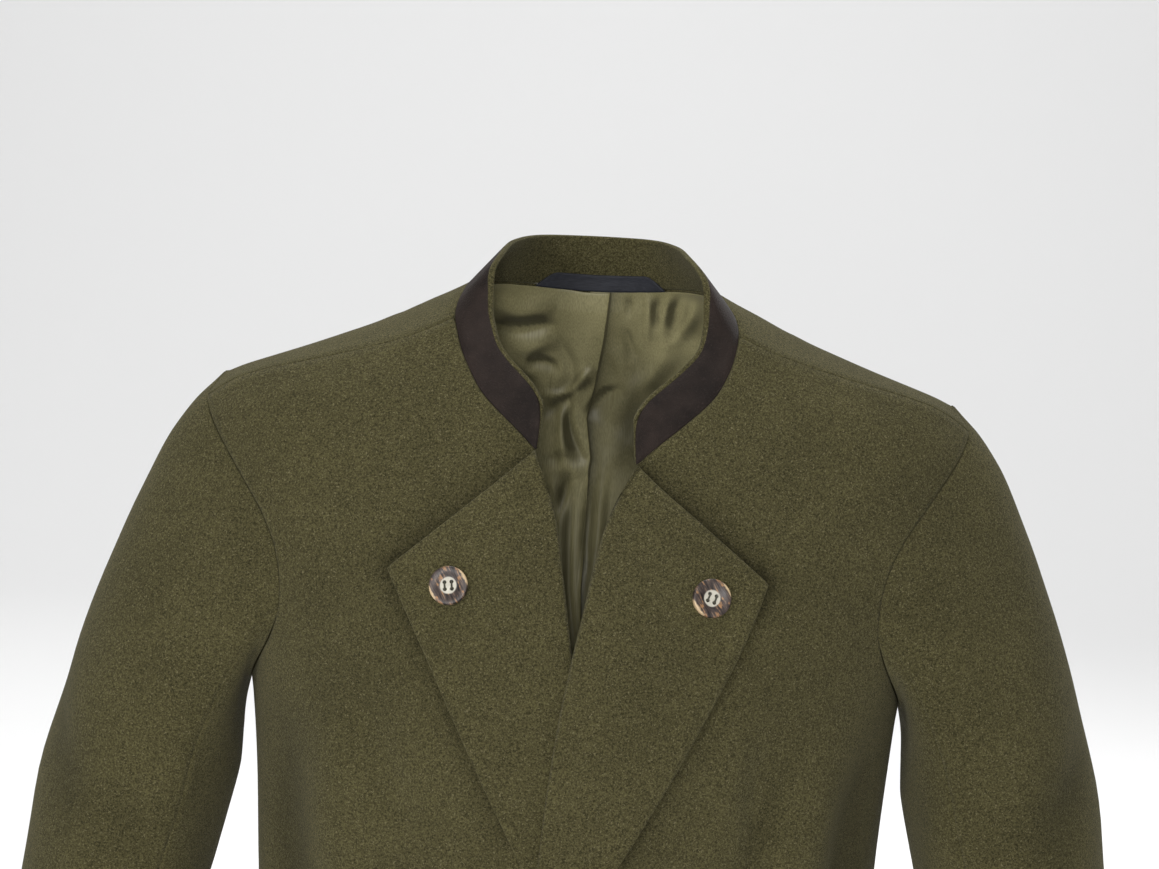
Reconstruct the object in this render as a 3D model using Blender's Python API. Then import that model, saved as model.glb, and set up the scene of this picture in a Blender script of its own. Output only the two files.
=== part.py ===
"""A wool hunting jacket with a leather-faced stand collar and turned-back fronts.

It is filled out as it is worn. Each piece that a tailor would cut is its own
wall of cloth, with an outer and an inner face, and neighbours lie 0.3 mm apart
at their seams. Sizes are in millimetres and become metres when a mesh is made.

The origin is between the two neck points, where the shoulders carry the jacket.
+X is the wearer's left, the front faces -Y, and +Z is up.
A "side" is +1 for the wearer's left and -1 for the right. Shapes that both
sides have are worked out for the left, and x is turned over for the right.
"""

import math

import bmesh
import bpy
import numpy as np
from mathutils import Matrix, Vector
from mathutils.bvhtree import BVHTree

MILLIMETRE = 0.001

# Cloth
CLOTH = 2.2
LINING = 1.0
LEATHER = 1.2
SEAM_GAP = 0.3
SLEEVE_SEAM_GAP = 0.5
LAID_ON = 0.4
LINING_EASE = 1.2

# Lengths of the jacket
HEM_Z = -745.0
ARMPIT_Z = -245.0

# The figure that fills it: height, half width, y of the side line, and the
# depth in front of and behind that line
TORSO = np.array([
    (-760, 214, 4, 126, 106),
    (-640, 206, 4, 126, 102),
    (-540, 196, 3, 122, 94),
    (-430, 187, 3, 119, 87),
    (-340, 189, 3, 125, 93),
    (-250, 197, 3, 127, 104),
    (-200, 208, 2, 120, 109),
    (-150, 225, 2, 107, 110),
    (-100, 236, 1, 88, 104),
    (-66, 231, 1, 76, 97),
    (-57, 222, 1, 72, 94),
    (-44, 187, 1, 67, 89),
    (-30, 151, 0, 61, 83),
    (-19, 125, 0, 57, 78),
    (-8, 101, 0, 53, 73),
    (0, 82, 0, 50, 69),
    (10, 68, 0, 47, 64),
    (32, 52, 0, 44, 60),
], float)
ROUNDNESS = 2.2
SIDE_SEAM_ANGLE = 92.0

# The neck seam, by the angle round the neck from the centre front, with the
# height of the collar there and how far it leans in from upright
NECK_SEAM = np.array([
    (5.9, -92, 34, 15),
    (8, -82.5, 34, 19),
    (11, -72, 34, 23),
    (15, -59.5, 34, 27),
    (20.5, -46.8, 34, 30),
    (27, -36, 34, 33),
    (35, -25, 35, 34),
    (43.5, -17, 35, 36),
    (53, -9.5, 35, 39),
    (65, -3, 35, 41),
    (78, 1.3, 35, 42),
    (90, 3.5, 35, 42),
    (120, 4.5, 35, 38),
    (150, 3, 35, 27),
    (180, 1.5, 35, 19),
], float)
LEFT_COLLAR_DROP = 3.0

# The shoulder seam lies in front of the ridge: the angle and the height from
# the neck to the armhole, and the turn round the armhole where it ends
SHOULDER_SEAM_NECK_ANGLE = 43.5
SHOULDER_SEAM_TURN = 18.0
SHOULDER_SEAM = np.array([
    (0, 43.5, -17),
    (1, 46.5, -28),
    (2, 58, -42.5),
    (3, 81.5, -69),
], float)

# The armhole, by the turn round it from the shoulder tip through the front:
# the angle round the body and the height
ARMHOLE = np.array([
    (0, 90, -57),
    (45, 67, -95),
    (90, 53, -150),
    (135, 61, -208),
    (180, 92, -245),
    (225, 119, -210),
    (270, 125, -150),
    (315, 112, -95),
    (360, 90, -57),
], float)

# Fronts: the line that each rolls back on, as x at a height. Below the break
# it is the plain front edge, past the centre by the button stand.
BUTTON_STAND = 20.0
BREAK_Z = -420.0
ROLL_LINE = np.array([
    (-420, -20),
    (-375, -18),
    (-325, -14),
    (-280, -9),
    (-240, -3),
    (-205, 3),
    (-182, 7),
    (-155, 11.8),
    (-135, 16.3),
    (-112, 21),
    (-99, 25),
    (-92, 29.5),
], float)
FOLD_RADIUS = 2.1
BREAK_FOLD_RADIUS = 2.6
BREAK_TURN = 105.0
UNDER_LAPEL_START = 9.0

# The turned-back edge of each front from its corner to the break: x and z
LAPEL_EDGE = {
    1: np.array([
        (109.7, -160), (109, -165), (104.5, -177), (96, -199), (62, -266), (20, -342),
        (-5, -385), (-13, -402), (-20, -420),
    ], float),
    -1: np.array([
        (113, -161), (108.5, -168), (102.7, -180), (88.6, -207), (56, -272), (18, -346),
        (-5, -386), (-20, -420),
    ], float),
}
LAPEL_REST = 3.1
LAPEL_EDGE_LIFT = 1.3

# How far the left front is raised where it crosses the right one
CROSSING_RAISE = 7.6
BUTTONED_RAISE = 2.9
RAISE_FULL_X = 26.0
RAISE_NONE_X = 84.0

# Buttons
BUTTON_RADIUS = 11.5
BUTTON_SIDES = 20
LAPEL_BUTTON = (77.0, -168.0)
CLOSING_BUTTON_Z = (-440.0, -534.0, -628.0)

# Sleeves: the middle of each section, its half width and half depth
SLEEVE = np.array([
    (264, 4, -292, 61, 66),
    (275, 3, -345, 59, 63),
    (286, 0, -405, 56.5, 60),
    (297, -9, -480, 53.5, 56),
    (309, -25, -560, 50, 51),
    (322, -45, -650, 46.5, 46.5),
], float)
SLEEVE_FRONT_SEAM = 126.0
SLEEVE_BACK_SEAM = 252.0
CAP_REACH = 100.0
CAP_FALL = 175.0

# Collar: how far its front top corners are rounded down, and over what length
COLLAR_CORNER = 4.5
COLLAR_CORNER_RUN = 14.0

# Hanger loop: half lengths of its lower and upper edges, and its height
LOOP_HALF_LENGTH = (44.0, 32.0)
LOOP_BAND = (1.8, 10.3)
LOOP_THICKNESS = 1.2

# How many steps each piece is drawn in, and the turns that the panels and the
# sleeve have points at round the armhole
SHOULDER_STEPS = 7
NECK_STEPS = 10
BACK_NECK_STEPS = 12
SIDE_ROWS = 7
ARMHOLE_ROWS = 11
SMOOTHING_ROUNDS = 60
BREAK_ROW = 5
LAPEL_STEPS = 7
FOLD_STEPS = 4
FRONT_TURNS = np.linspace(180, SHOULDER_SEAM_TURN, ARMHOLE_ROWS + 1)
BACK_TURNS = np.linspace(180, 360 + SHOULDER_SEAM_TURN, ARMHOLE_ROWS + 1)


def table_curve(table, at):
    """Every other column of a table, read at values of its first column by a smooth curve."""
    keys, values = table[:, 0], table[:, 1:]
    slopes = np.gradient(values, keys, axis=0)
    at = np.clip(np.asarray(at, float), keys[0], keys[-1])
    i = np.clip(np.searchsorted(keys, at) - 1, 0, len(keys) - 2)
    span = keys[i + 1] - keys[i]
    t = ((at - keys[i]) / span)[..., None]
    span = span[..., None]
    return (
        (2 * t**3 - 3 * t**2 + 1) * values[i]
        + (t**3 - 2 * t**2 + t) * span * slopes[i]
        + (3 * t**2 - 2 * t**3) * values[i + 1]
        + (t**3 - t**2) * span * slopes[i + 1]
    )


def ramp(value, low, high):
    """0 below low, 1 above high, and smooth between."""
    t = np.clip((np.asarray(value, float) - low) / (high - low), 0, 1)
    return t * t * (3 - 2 * t)


def unit(vectors):
    return vectors / np.maximum(np.linalg.norm(vectors, axis=-1, keepdims=True), 1e-9)


def evenly(points, steps):
    """A line of points drawn again with equal steps."""
    lengths = np.concatenate([[0], np.cumsum(np.linalg.norm(np.diff(points, axis=0), axis=1))])
    at = np.linspace(0, lengths[-1], steps + 1)
    return np.stack([np.interp(at, lengths, points[:, k]) for k in range(points.shape[1])], axis=1)


def body_at(angle, z):
    """Points of the figure, by the angle round it from the centre front and the height."""
    half_width, side_y, front, back = np.moveaxis(table_curve(TORSO, z), -1, 0)
    turn = np.radians(angle)
    across, along = np.sin(turn), np.cos(turn)
    power = 2 / ROUNDNESS
    x = half_width * np.sign(across) * np.abs(across) ** power
    depth = np.where(along > 0, -front, back)
    return np.stack([x, side_y + depth * np.abs(along) ** power, np.broadcast_to(z, x.shape)], -1)


def body_level(points):
    """How far points are outside the figure, as a share of its section."""
    x, y, z = np.moveaxis(points, -1, 0)
    half_width, side_y, front, back = np.moveaxis(table_curve(TORSO, z), -1, 0)
    depth = np.where(y < side_y, front, back)
    inside = np.abs(x / half_width) ** ROUNDNESS + np.abs((y - side_y) / depth) ** ROUNDNESS
    return inside ** (1 / ROUNDNESS) - 1


def body_slope(points, step=0.5):
    """How the level changes along x, y and z."""
    parts = []
    for axis in np.eye(3):
        parts.append((body_level(points + step * axis) - body_level(points - step * axis)) / (2 * step))
    return np.stack(parts, -1)


def body_normal(points):
    return unit(body_slope(points))


def onto_body(points, rounds=8):
    """Points moved to the nearest part of the figure's surface."""
    points = np.array(points, float)
    for _ in range(rounds):
        slope = body_slope(points)
        share = body_level(points) / np.maximum((slope**2).sum(-1), 1e-9)
        points = points - share[..., None] * slope
    return points


def chest_at(x, z):
    """Points of the figure's front, by x and height."""
    half_width, side_y, front, _ = np.moveaxis(table_curve(TORSO, z), -1, 0)
    inside = np.clip(1 - np.abs(x / half_width) ** ROUNDNESS, 0, 1)
    return np.stack([x, side_y - front * inside ** (1 / ROUNDNESS), z], -1)


def neck_seam(angle, side):
    """Points of the neck seam on one side, with the collar's height and lean there."""
    z, height, lean = np.moveaxis(table_curve(NECK_SEAM, angle), -1, 0)
    z = z - side * LEFT_COLLAR_DROP * (1 - ramp(angle, NECK_SEAM[0, 0], 90))
    return body_at(angle, z), height, lean


def neck_line(side):
    """The neck seam of a front, from the shoulder seam to the front end, in equal steps."""
    angles = np.linspace(SHOULDER_SEAM_NECK_ANGLE, NECK_SEAM[0, 0], 200)
    return evenly(neck_seam(angles, side)[0], NECK_STEPS)


def back_neck_line(side):
    """Half the neck seam of the back, from a shoulder seam to the centre, in equal steps."""
    angles = np.linspace(SHOULDER_SEAM_NECK_ANGLE, 180, 200)
    return evenly(neck_seam(angles, side)[0], BACK_NECK_STEPS)


def shoulder_line(side):
    """The shoulder seam, from the armhole to the neck, in equal steps."""
    angle, z = np.moveaxis(table_curve(SHOULDER_SEAM, np.linspace(3, 0, 80)), -1, 0)
    line = evenly(body_at(angle, z), SHOULDER_STEPS)
    line[0] = armhole_at(np.array([SHOULDER_SEAM_TURN]))[0]
    line[-1] = neck_line(side)[0]
    return line


def armhole_at(turn):
    """Points of the left armhole. A turn is 0 at the shoulder, 90 in front and 180 at the armpit."""
    angle, z = np.moveaxis(table_curve(ARMHOLE, np.asarray(turn, float) % 360), -1, 0)
    return body_at(angle, z)


def patch(left, right, bottom, top):
    """A net of points between four edges, laid on the figure. Left and right run upwards."""
    v = np.linspace(0, 1, len(left))[:, None, None]
    u = np.linspace(0, 1, len(bottom))[None, :, None]
    net = (1 - u) * left[:, None] + u * right[:, None] + (1 - v) * bottom[None] + v * top[None]
    corners = (1 - u) * (1 - v) * left[0] + u * (1 - v) * right[0]
    corners = corners + (1 - u) * v * left[-1] + u * v * right[-1]
    net = net - corners
    edges = net.copy()
    net[1:-1, 1:-1] = onto_body(net[1:-1, 1:-1])
    net[0], net[-1], net[:, 0], net[:, -1] = edges[0], edges[-1], edges[:, 0], edges[:, -1]
    for _ in range(SMOOTHING_ROUNDS):
        around = net[2:, 1:-1] + net[:-2, 1:-1] + net[1:-1, 2:] + net[1:-1, :-2]
        net[1:-1, 1:-1] = onto_body(around / 4, 2)
    return net


def drawn_in(net, distance=SEAM_GAP / 2):
    """A net with its edges moved in by half a seam's gap."""
    net = net.copy()
    for edge, inner in ((0, 1), (-1, -2)):
        net[edge] += distance * unit(net[inner] - net[edge])
        net[:, edge] += distance * unit(net[:, inner] - net[:, edge])
    return net


def net_faces(rows, columns, closed=False):
    """Four-sided faces of a net that is numbered row by row."""
    faces = []
    for r in range(rows - 1):
        for c in range(columns if closed else columns - 1):
            d = (c + 1) % columns
            faces.append((r * columns + c, r * columns + d, (r + 1) * columns + d, (r + 1) * columns + c))
    return faces


def net_normals(net, closed=False):
    """Upright directions of a net, to the left of its columns' way up."""
    along = np.gradient(net, axis=0)
    if closed:
        across = np.roll(net, -1, axis=1) - np.roll(net, 1, axis=1)
    else:
        across = np.gradient(net, axis=1)
    return unit(np.cross(across, along))


def material(name, colour, roughness, metallic=0.0):
    made = bpy.data.materials.new(name)
    made.use_nodes = True
    shader = made.node_tree.nodes["Principled BSDF"]
    shader.inputs["Base Color"].default_value = (*colour, 1)
    shader.inputs["Roughness"].default_value = roughness
    shader.inputs["Metallic"].default_value = metallic
    return made


def add_object(name, points, faces, finish):
    """One closed mesh, with its faces turned outwards."""
    mesh = bpy.data.meshes.new(name)
    work = bmesh.new()
    corners = [work.verts.new(Vector(p) * MILLIMETRE) for p in points]
    for face in faces:
        ring = [corners[k] for k in dict.fromkeys(face)]
        if len(ring) > 2:
            work.faces.new(ring)
    bmesh.ops.recalc_face_normals(work, faces=work.faces)
    bmesh.ops.triangulate(work, faces=work.faces, quad_method="SHORT_EDGE")
    work.to_mesh(mesh)
    work.free()
    mesh.materials.append(finish)
    mesh.shade_smooth()
    mesh.set_sharp_from_angle(angle=math.radians(50))
    made = bpy.data.objects.new(name, mesh)
    bpy.context.scene.collection.objects.link(made)
    return made


def add_wall(name, points, normals, faces, thickness, finish):
    """A wall of cloth: a sheet given a thickness, half to each side, and closed round its edges."""
    points, normals = np.reshape(points, (-1, 3)), np.reshape(normals, (-1, 3))
    count = len(points)
    solid = np.concatenate([points + normals * thickness / 2, points - normals * thickness / 2])
    made = []
    edges = {}
    for face in faces:
        ring = list(dict.fromkeys(face))
        if len(ring) < 3:
            continue
        made.append(ring)
        made.append([k + count for k in reversed(ring)])
        for a, b in zip(ring, ring[1:] + ring[:1]):
            edges[(a, b)] = edges.get((b, a), 0) + 1
            edges[(b, a)] = edges[(a, b)]
    for face in list(made[::2]):
        for a, b in zip(face, face[1:] + face[:1]):
            if edges[(a, b)] == 1:
                made.append([b, a, a + count, b + count])
    return add_object(name, solid, made, finish)


def turned(points, side):
    """Points worked out for the left, turned over for the right."""
    return points * np.array([side, 1, 1])


# Fronts

def raise_at(side, points):
    """How far a front lies off the figure: the left one crosses over the right one."""
    x, _, z = np.moveaxis(points, -1, 0)
    if side < 0:
        return np.zeros(x.shape)
    near = 1 - ramp(x, RAISE_FULL_X, RAISE_NONE_X)
    open_part = ramp(z, BREAK_Z - 40, BREAK_Z - 8)
    level = BUTTONED_RAISE + (CROSSING_RAISE - BUTTONED_RAISE) * open_part
    return level * near * (1 - ramp(z, -182, -112))


def edge_heights():
    """Heights of the rows at a front's edge, with one at the break."""
    low = np.linspace(HEM_Z, BREAK_Z, BREAK_ROW + 1)
    share = np.linspace(0, 1, SIDE_ROWS + ARMHOLE_ROWS - BREAK_ROW + 1)
    high = BREAK_Z + (NECK_SEAM[0, 1] - BREAK_Z) * share**1.3
    return np.concatenate([low, high[1:]])


def front_edge(heights):
    x = np.where(heights < BREAK_Z, -BUTTON_STAND, table_curve(ROLL_LINE, heights)[..., 0])
    return chest_at(x, heights)


def front_net(side):
    """The flat part of a front, from the side seam to its edge or roll line."""
    side_z = np.linspace(HEM_Z, ARMPIT_Z, SIDE_ROWS + 1)
    side_edge = body_at(np.full(len(side_z), SIDE_SEAM_ANGLE), side_z)
    left = np.concatenate([side_edge[:-1], armhole_at(FRONT_TURNS)])
    neck = neck_line(side)
    heights = edge_heights()
    start = BREAK_ROW + 1
    heights[start:] += (neck[-1, 2] - heights[-1]) * np.linspace(0, 1, len(heights) - start)
    right = front_edge(heights)
    right[-1] = neck[-1]
    top = np.concatenate([shoulder_line(side)[:-1], neck])

    x = front_edge(np.array([HEM_Z]))[0, 0]
    edge_angle = -math.degrees(math.asin(abs(x / TORSO[0, 1]) ** (ROUNDNESS / 2)))
    angles = np.linspace(SIDE_SEAM_ANGLE, edge_angle, 90)
    bottom = evenly(body_at(angles, np.full(90, HEM_Z)), len(top) - 1)
    left[0], right[0] = bottom[0], bottom[-1]
    return patch(left, right, bottom, top)


def lapel_rows(side, fold, rise):
    """The turned-back part of a front, row by row from the break up: sheet points and their normals."""
    outline = evenly(LAPEL_EDGE[side][::-1], 60)
    shares = np.concatenate([[0], np.cumsum(np.linalg.norm(np.diff(fold, axis=0), axis=1))])
    shares = shares / shares[-1]
    outer = np.stack([np.interp(shares, np.linspace(0, 1, 61), outline[:, k]) for k in range(2)], 1)
    if side < 0:
        outer[0] += [UNDER_LAPEL_START, 1.5]
    along = unit(np.gradient(fold, axis=0))
    normal = body_normal(fold)
    past = unit(np.cross(along, normal))
    radius = FOLD_RADIUS + (BREAK_FOLD_RADIUS - FOLD_RADIUS) * (1 - ramp(shares, 0, 0.4))
    turns = np.full(len(fold), math.pi)
    if side > 0:
        turns = np.radians(BREAK_TURN + (180 - BREAK_TURN) * ramp(fold[:, 2], BREAK_Z, BREAK_Z + 75))

    rows, normals = [], []
    for k in range(len(fold)):
        line, line_normals = [], []
        for step in range(1, FOLD_STEPS + 1):
            turn = turns[k] * step / FOLD_STEPS
            roll = past[k] * math.sin(turn) + normal[k] * (1 - math.cos(turn))
            line.append(fold[k] + rise[k] * normal[k] + radius[k] * roll)
            line_normals.append(normal[k] * math.cos(turn) - past[k] * math.sin(turn))
        free_way = past[k] * math.cos(turns[k]) + normal[k] * math.sin(turns[k])
        width = np.linalg.norm(outer[k] - fold[k][[0, 2]])
        laid = ramp(turns[k], math.radians(130), math.pi)
        for step in range(1, LAPEL_STEPS + 1):
            share = step / LAPEL_STEPS
            flat = fold[k][[0, 2]] * (1 - share) + outer[k] * share
            base = chest_at(flat[0], flat[1])
            out = body_normal(base)
            settled = ramp(share, 0, 0.4)
            lift = 2 * radius[k] * (1 - settled) + LAPEL_REST * settled + LAPEL_EDGE_LIFT * share**3
            lying = base + out * (CLOTH / 2 + raise_at(side, base) + lift)
            free = line[FOLD_STEPS - 1] + free_way * width * share
            line.append(lying * laid + free * (1 - laid))
            line_normals.append(unit(-out * laid + line_normals[FOLD_STEPS - 1] * (1 - laid)))
        rows.append(line)
        normals.append(line_normals)
    return np.array(rows), np.array(normals)


def build_front(side, name, finish):
    net = front_net(side)
    rows, columns = net.shape[:2]
    normal = body_normal(net)
    sheet = drawn_in(net)
    lifted = raise_at(side, sheet) + CLOTH / 2
    points = sheet + normal * lifted[..., None]

    first = int(np.argmin(np.abs(net[:, -1, 2] - BREAK_Z)))
    fold = sheet[first:, -1]
    lapel, lapel_normals = lapel_rows(side, fold, lifted[first:, -1])
    from_point = side > 0
    if from_point:
        lapel[0], lapel_normals[0] = points[first, -1], normal[first, -1]

    flat_count = rows * columns
    width = lapel.shape[1]
    faces = net_faces(rows, columns)

    def number(row, column):
        if column < 0:
            return row * columns + columns - 1
        if row == first and from_point:
            return first * columns + columns - 1
        return flat_count + (row - first) * width + column

    for r in range(first, rows - 1):
        for c in range(-1, width - 1):
            faces.append((number(r, c), number(r, c + 1), number(r + 1, c + 1), number(r + 1, c)))

    all_points = np.concatenate([points.reshape(-1, 3), lapel.reshape(-1, 3)])
    all_normals = np.concatenate([normal.reshape(-1, 3), lapel_normals.reshape(-1, 3)])
    used = sorted({k for face in faces for k in face})
    renumbered = {old: new for new, old in enumerate(used)}
    faces = [tuple(renumbered[k] for k in face) for face in faces]
    points_used = turned(all_points[used], side)
    normals_used = turned(all_normals[used], side)
    return add_wall(name, points_used, normals_used, faces, CLOTH, finish)


# Back and its lining

def back_net():
    """The whole back, from the left side seam to the right one."""
    side_z = np.linspace(HEM_Z, ARMPIT_Z, SIDE_ROWS + 1)
    side_edge = body_at(np.full(len(side_z), SIDE_SEAM_ANGLE), side_z)
    left = np.concatenate([side_edge[:-1], armhole_at(BACK_TURNS)])
    half_tops = []
    for side in (1, -1):
        half_tops.append(np.concatenate([shoulder_line(side)[:-1], back_neck_line(side)]))
    half_top, other_top = half_tops
    angles = np.linspace(SIDE_SEAM_ANGLE, 180, 60)
    half_bottom = evenly(body_at(angles, np.full(60, HEM_Z)), len(half_top) - 1)
    top = np.concatenate([half_top, turned(other_top[-2::-1], -1)])
    bottom = np.concatenate([half_bottom, turned(half_bottom[-2::-1], -1)])
    left[0], left[-1] = bottom[0], top[0]
    return patch(left, turned(left, -1), bottom, top)


def build_back(finish):
    net = back_net()
    normal = body_normal(net)
    sheet = drawn_in(net) + normal * CLOTH / 2
    return add_wall("back", sheet, normal, net_faces(*net.shape[:2]), CLOTH, finish)


# The edge of the lining's centre pleat: x at a height
PLEAT_EDGE = np.array([(-700, 2), (-400, 3), (-200, 3), (-115, 0), (-60, 7.5), (5, 11)], float)

# The pleat in section, from right to left: how far across from its edge, and
# how far inside the lining. The cloth goes under, back and over.
PLEAT = np.array([
    (8.0, 0.0),
    (-4.0, 0.0),
    (-11.5, 0.0),
    (-12.4, 0.7),
    (-11.5, 1.4),
    (-6.0, 1.4),
    (-1.0, 1.4),
    (0.2, 2.1),
    (-1.0, 2.8),
    (-6.0, 2.9),
    (-15.0, 2.8),
    (-24.0, 1.4),
    (-32.0, 0.0),
], float)


def build_lining(finish):
    """The back lining lies inside the back, with a soft pleat down its middle."""
    net = back_net()[1:]
    rows, columns = net.shape[:2]
    middle = columns // 2
    inset = drawn_in(net, 2.0)
    normal = body_normal(net)
    depth = LINING_EASE + LINING / 2
    points, normals = [], []
    for r in range(rows):
        row = inset[r]
        edge = table_curve(PLEAT_EDGE, net[r, middle, 2])[0]
        across = edge + PLEAT[:, 0]
        base = np.stack([np.interp(across, row[::-1, 0], row[::-1, k]) for k in range(3)], -1)
        pleat = base - body_normal(base) * (depth + PLEAT[:, 1:])
        flat = row - normal[r] * depth
        line = np.concatenate([flat[:middle - 1], pleat, flat[middle + 2:]])
        up = unit(net[min(r + 1, rows - 1), middle] - net[max(r - 1, 0), middle])
        pleat_normal = unit(np.cross(np.gradient(line, axis=0), up))[middle - 1:middle - 1 + len(PLEAT)]
        points.append(line)
        normals.append(np.concatenate([normal[r, :middle - 1], pleat_normal, normal[r, middle + 2:]]))
    points, normals = np.array(points), np.array(normals)
    add_wall("lining_back", points, normals, net_faces(*points.shape[:2]), LINING, finish)


# Sleeves

def sleeve_net():
    """The left sleeve as a closed tube: rows run from the armhole to the cuff, columns round it."""
    turns = np.concatenate([FRONT_TURNS[::-1], BACK_TURNS[1:-1]])
    rim = armhole_at(turns)
    out = body_normal(rim)
    step = 1.0
    run = unit(armhole_at(turns + step) - armhole_at(turns - step))
    into = unit(np.cross(out, run))
    start = rim + out * CLOTH + into * SLEEVE_SEAM_GAP
    lateral = np.array([1.0, 0, 0])
    top_share = (0.5 + 0.5 * np.cos(np.radians(turns)))[:, None]
    first_way = unit(lateral * 0.75 + into * (0.25 + 0.35 * top_share))

    middles, sizes = SLEEVE[:, :3], SLEEVE[:, 3:]
    axis = unit(np.gradient(middles, axis=0))
    wide = unit(lateral - (axis @ lateral)[:, None] * axis)
    ahead = unit(np.cross(wide, axis))
    ahead = ahead * np.sign(-ahead[:, 1:2])
    rings = []
    for k in range(len(middles)):
        angle = np.radians(turns)[:, None]
        rings.append(
            middles[k] + wide[k] * sizes[k, 0] * np.cos(angle) + ahead[k] * sizes[k, 1] * np.sin(angle)
        )
    reach = 28 + (CAP_REACH - 28) * top_share
    fall = 45 + (CAP_FALL - 45) * top_share
    cap = []
    for t in np.linspace(0, 1, 8)[:-1]:
        cap.append(
            (2 * t**3 - 3 * t**2 + 1) * start
            + (t**3 - 2 * t**2 + t) * first_way * reach
            + (3 * t**2 - 2 * t**3) * rings[0]
            + (t**3 - t**2) * axis[0] * fall
        )
    return np.array(cap + rings), turns


def build_sleeve(side, name, finish):
    """Top and under sleeve, cut from one tube along its two seams."""
    net, turns = sleeve_net()
    normal = net_normals(net, closed=True)
    centre = net.mean(axis=1, keepdims=True)
    if ((net - centre) * normal).sum() < 0:
        normal = -normal
    sheet = net - normal * CLOTH / 2
    front = int(np.argmin(np.abs(turns - SLEEVE_FRONT_SEAM)))
    back = int(np.argmin(np.abs(turns - SLEEVE_BACK_SEAM)))
    count = len(turns)
    parts = {
        "top": [k % count for k in range(back, front + count + 1)],
        "under": list(range(front, back + 1)),
    }
    for part, columns in parts.items():
        points = sheet[:, columns].copy()
        for edge, inner in ((0, 1), (-1, -2)):
            points[:, edge] += SEAM_GAP / 2 * unit(points[:, inner] - points[:, edge])
        faces = net_faces(len(points), len(columns))
        outwards = turned(normal[:, columns], side)
        add_wall(f"{name}_{part}", turned(points, side), outwards, faces, CLOTH, finish)


# Collar

def ends_away(points):
    """How far each point of a line is from the nearer end of the line."""
    lengths = np.concatenate([[0], np.cumsum(np.linalg.norm(np.diff(points, axis=0), axis=1))])
    return np.minimum(lengths, lengths[-1] - lengths)


def collar_frames(finer=1):
    """Along the collar from its right end to its left: start, way up, way in, height and distance."""
    halves = {}
    for side in (-1, 1):
        halves[side] = turned(np.concatenate([neck_line(side)[::-1], back_neck_line(side)[1:]]), side)
    points = np.concatenate([halves[-1], halves[1][-2::-1]])
    count = len(points)
    ends = 0.35 * unit(points[[1, -2]] - points[[0, -1]])
    points[[0, -1]] += ends
    if finer > 1:
        at = np.linspace(0, count - 1, finer * (count - 1) + 1)
        points = np.stack([np.interp(at, np.arange(count), points[:, k]) for k in range(3)], -1)
    normal = body_normal(points)
    half_width, side_y, front, back = np.moveaxis(table_curve(TORSO, points[:, 2]), -1, 0)
    depth = np.where(points[:, 1] < side_y, front, back)
    across = np.clip(np.abs(points[:, 0]) / half_width, 0, 1) ** (ROUNDNESS / 2)
    along = np.clip(np.abs(points[:, 1] - side_y) / depth, 0, 1) ** (ROUNDNESS / 2)
    angle = np.degrees(np.arctan2(across, -along * np.sign(points[:, 1] - side_y)))
    _, height, lean = neck_seam(angle, 0)
    to_corner = np.clip(1 - ends_away(points) / COLLAR_CORNER_RUN, 0, 1)
    height = height - COLLAR_CORNER * to_corner**2
    lean = np.radians(lean)
    run = unit(np.gradient(points, axis=0))
    surface_up = unit(np.cross(run, normal))
    middle = np.array([0, 0, 0]) - points
    surface_up = surface_up * np.sign((surface_up * (middle * [1, 1, 0] + [0, 0, 40])).sum(-1, keepdims=True))
    level = unit(run * np.array([1, 1, 0]))
    inward = np.cross(level, np.array([0, 0, 1.0]))
    inward = inward * np.sign((inward * middle).sum(-1, keepdims=True))
    up = np.array([0, 0, 1.0]) * np.cos(lean)[:, None] + inward * np.sin(lean)[:, None]
    inner_way = inward * np.cos(lean)[:, None] - np.array([0, 0, 1.0]) * np.sin(lean)[:, None]
    start = points + normal * CLOTH + surface_up * SEAM_GAP
    lengths = np.concatenate([[0], np.cumsum(np.linalg.norm(np.diff(points, axis=0), axis=1))])
    return start, up, inner_way, height, lengths - lengths[-1] / 2


def swept(name, sections, finish):
    """A solid through equal rings of points, closed at both ends."""
    count, corners = sections.shape[:2]
    faces = net_faces(count, corners, closed=True)
    faces.append(tuple(range(corners)))
    faces.append(tuple((count - 1) * corners + k for k in range(corners)))
    return add_object(name, sections.reshape(-1, 3), faces, finish)


def collar_section(frames, profile):
    """A profile of (depth, height from the seam, height from the top or None) set up along the collar."""
    start, up, inner_way, height, _ = frames
    rings = []
    for depth, from_seam, from_top in profile:
        rise = height - from_top if from_seam is None else np.full(len(height), from_seam)
        rings.append(start + inner_way * depth + up * rise[:, None])
    return np.stack(rings, axis=1)


def build_collar(leather, wool):
    frames = collar_frames()
    lip = 3.0
    inner = LEATHER + SEAM_GAP
    outer_profile = [
        (0, 0, None),
        (0, None, lip + SEAM_GAP),
        (LEATHER, None, lip + SEAM_GAP),
        (LEATHER, 0.3, None),
    ]
    inner_profile = [
        (inner, 0.6, None),
        (inner, None, lip),
        (0.1, None, lip),
        (0.1, None, 0.9),
        (1.0, None, 0),
        (inner + CLOTH - 0.9, None, 0),
        (inner + CLOTH, None, 0.9),
        (inner + CLOTH, 1.5, None),
    ]
    swept("collar_outer", collar_section(frames, outer_profile), leather)
    swept("collar_inner", collar_section(frames, inner_profile), wool)


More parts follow.
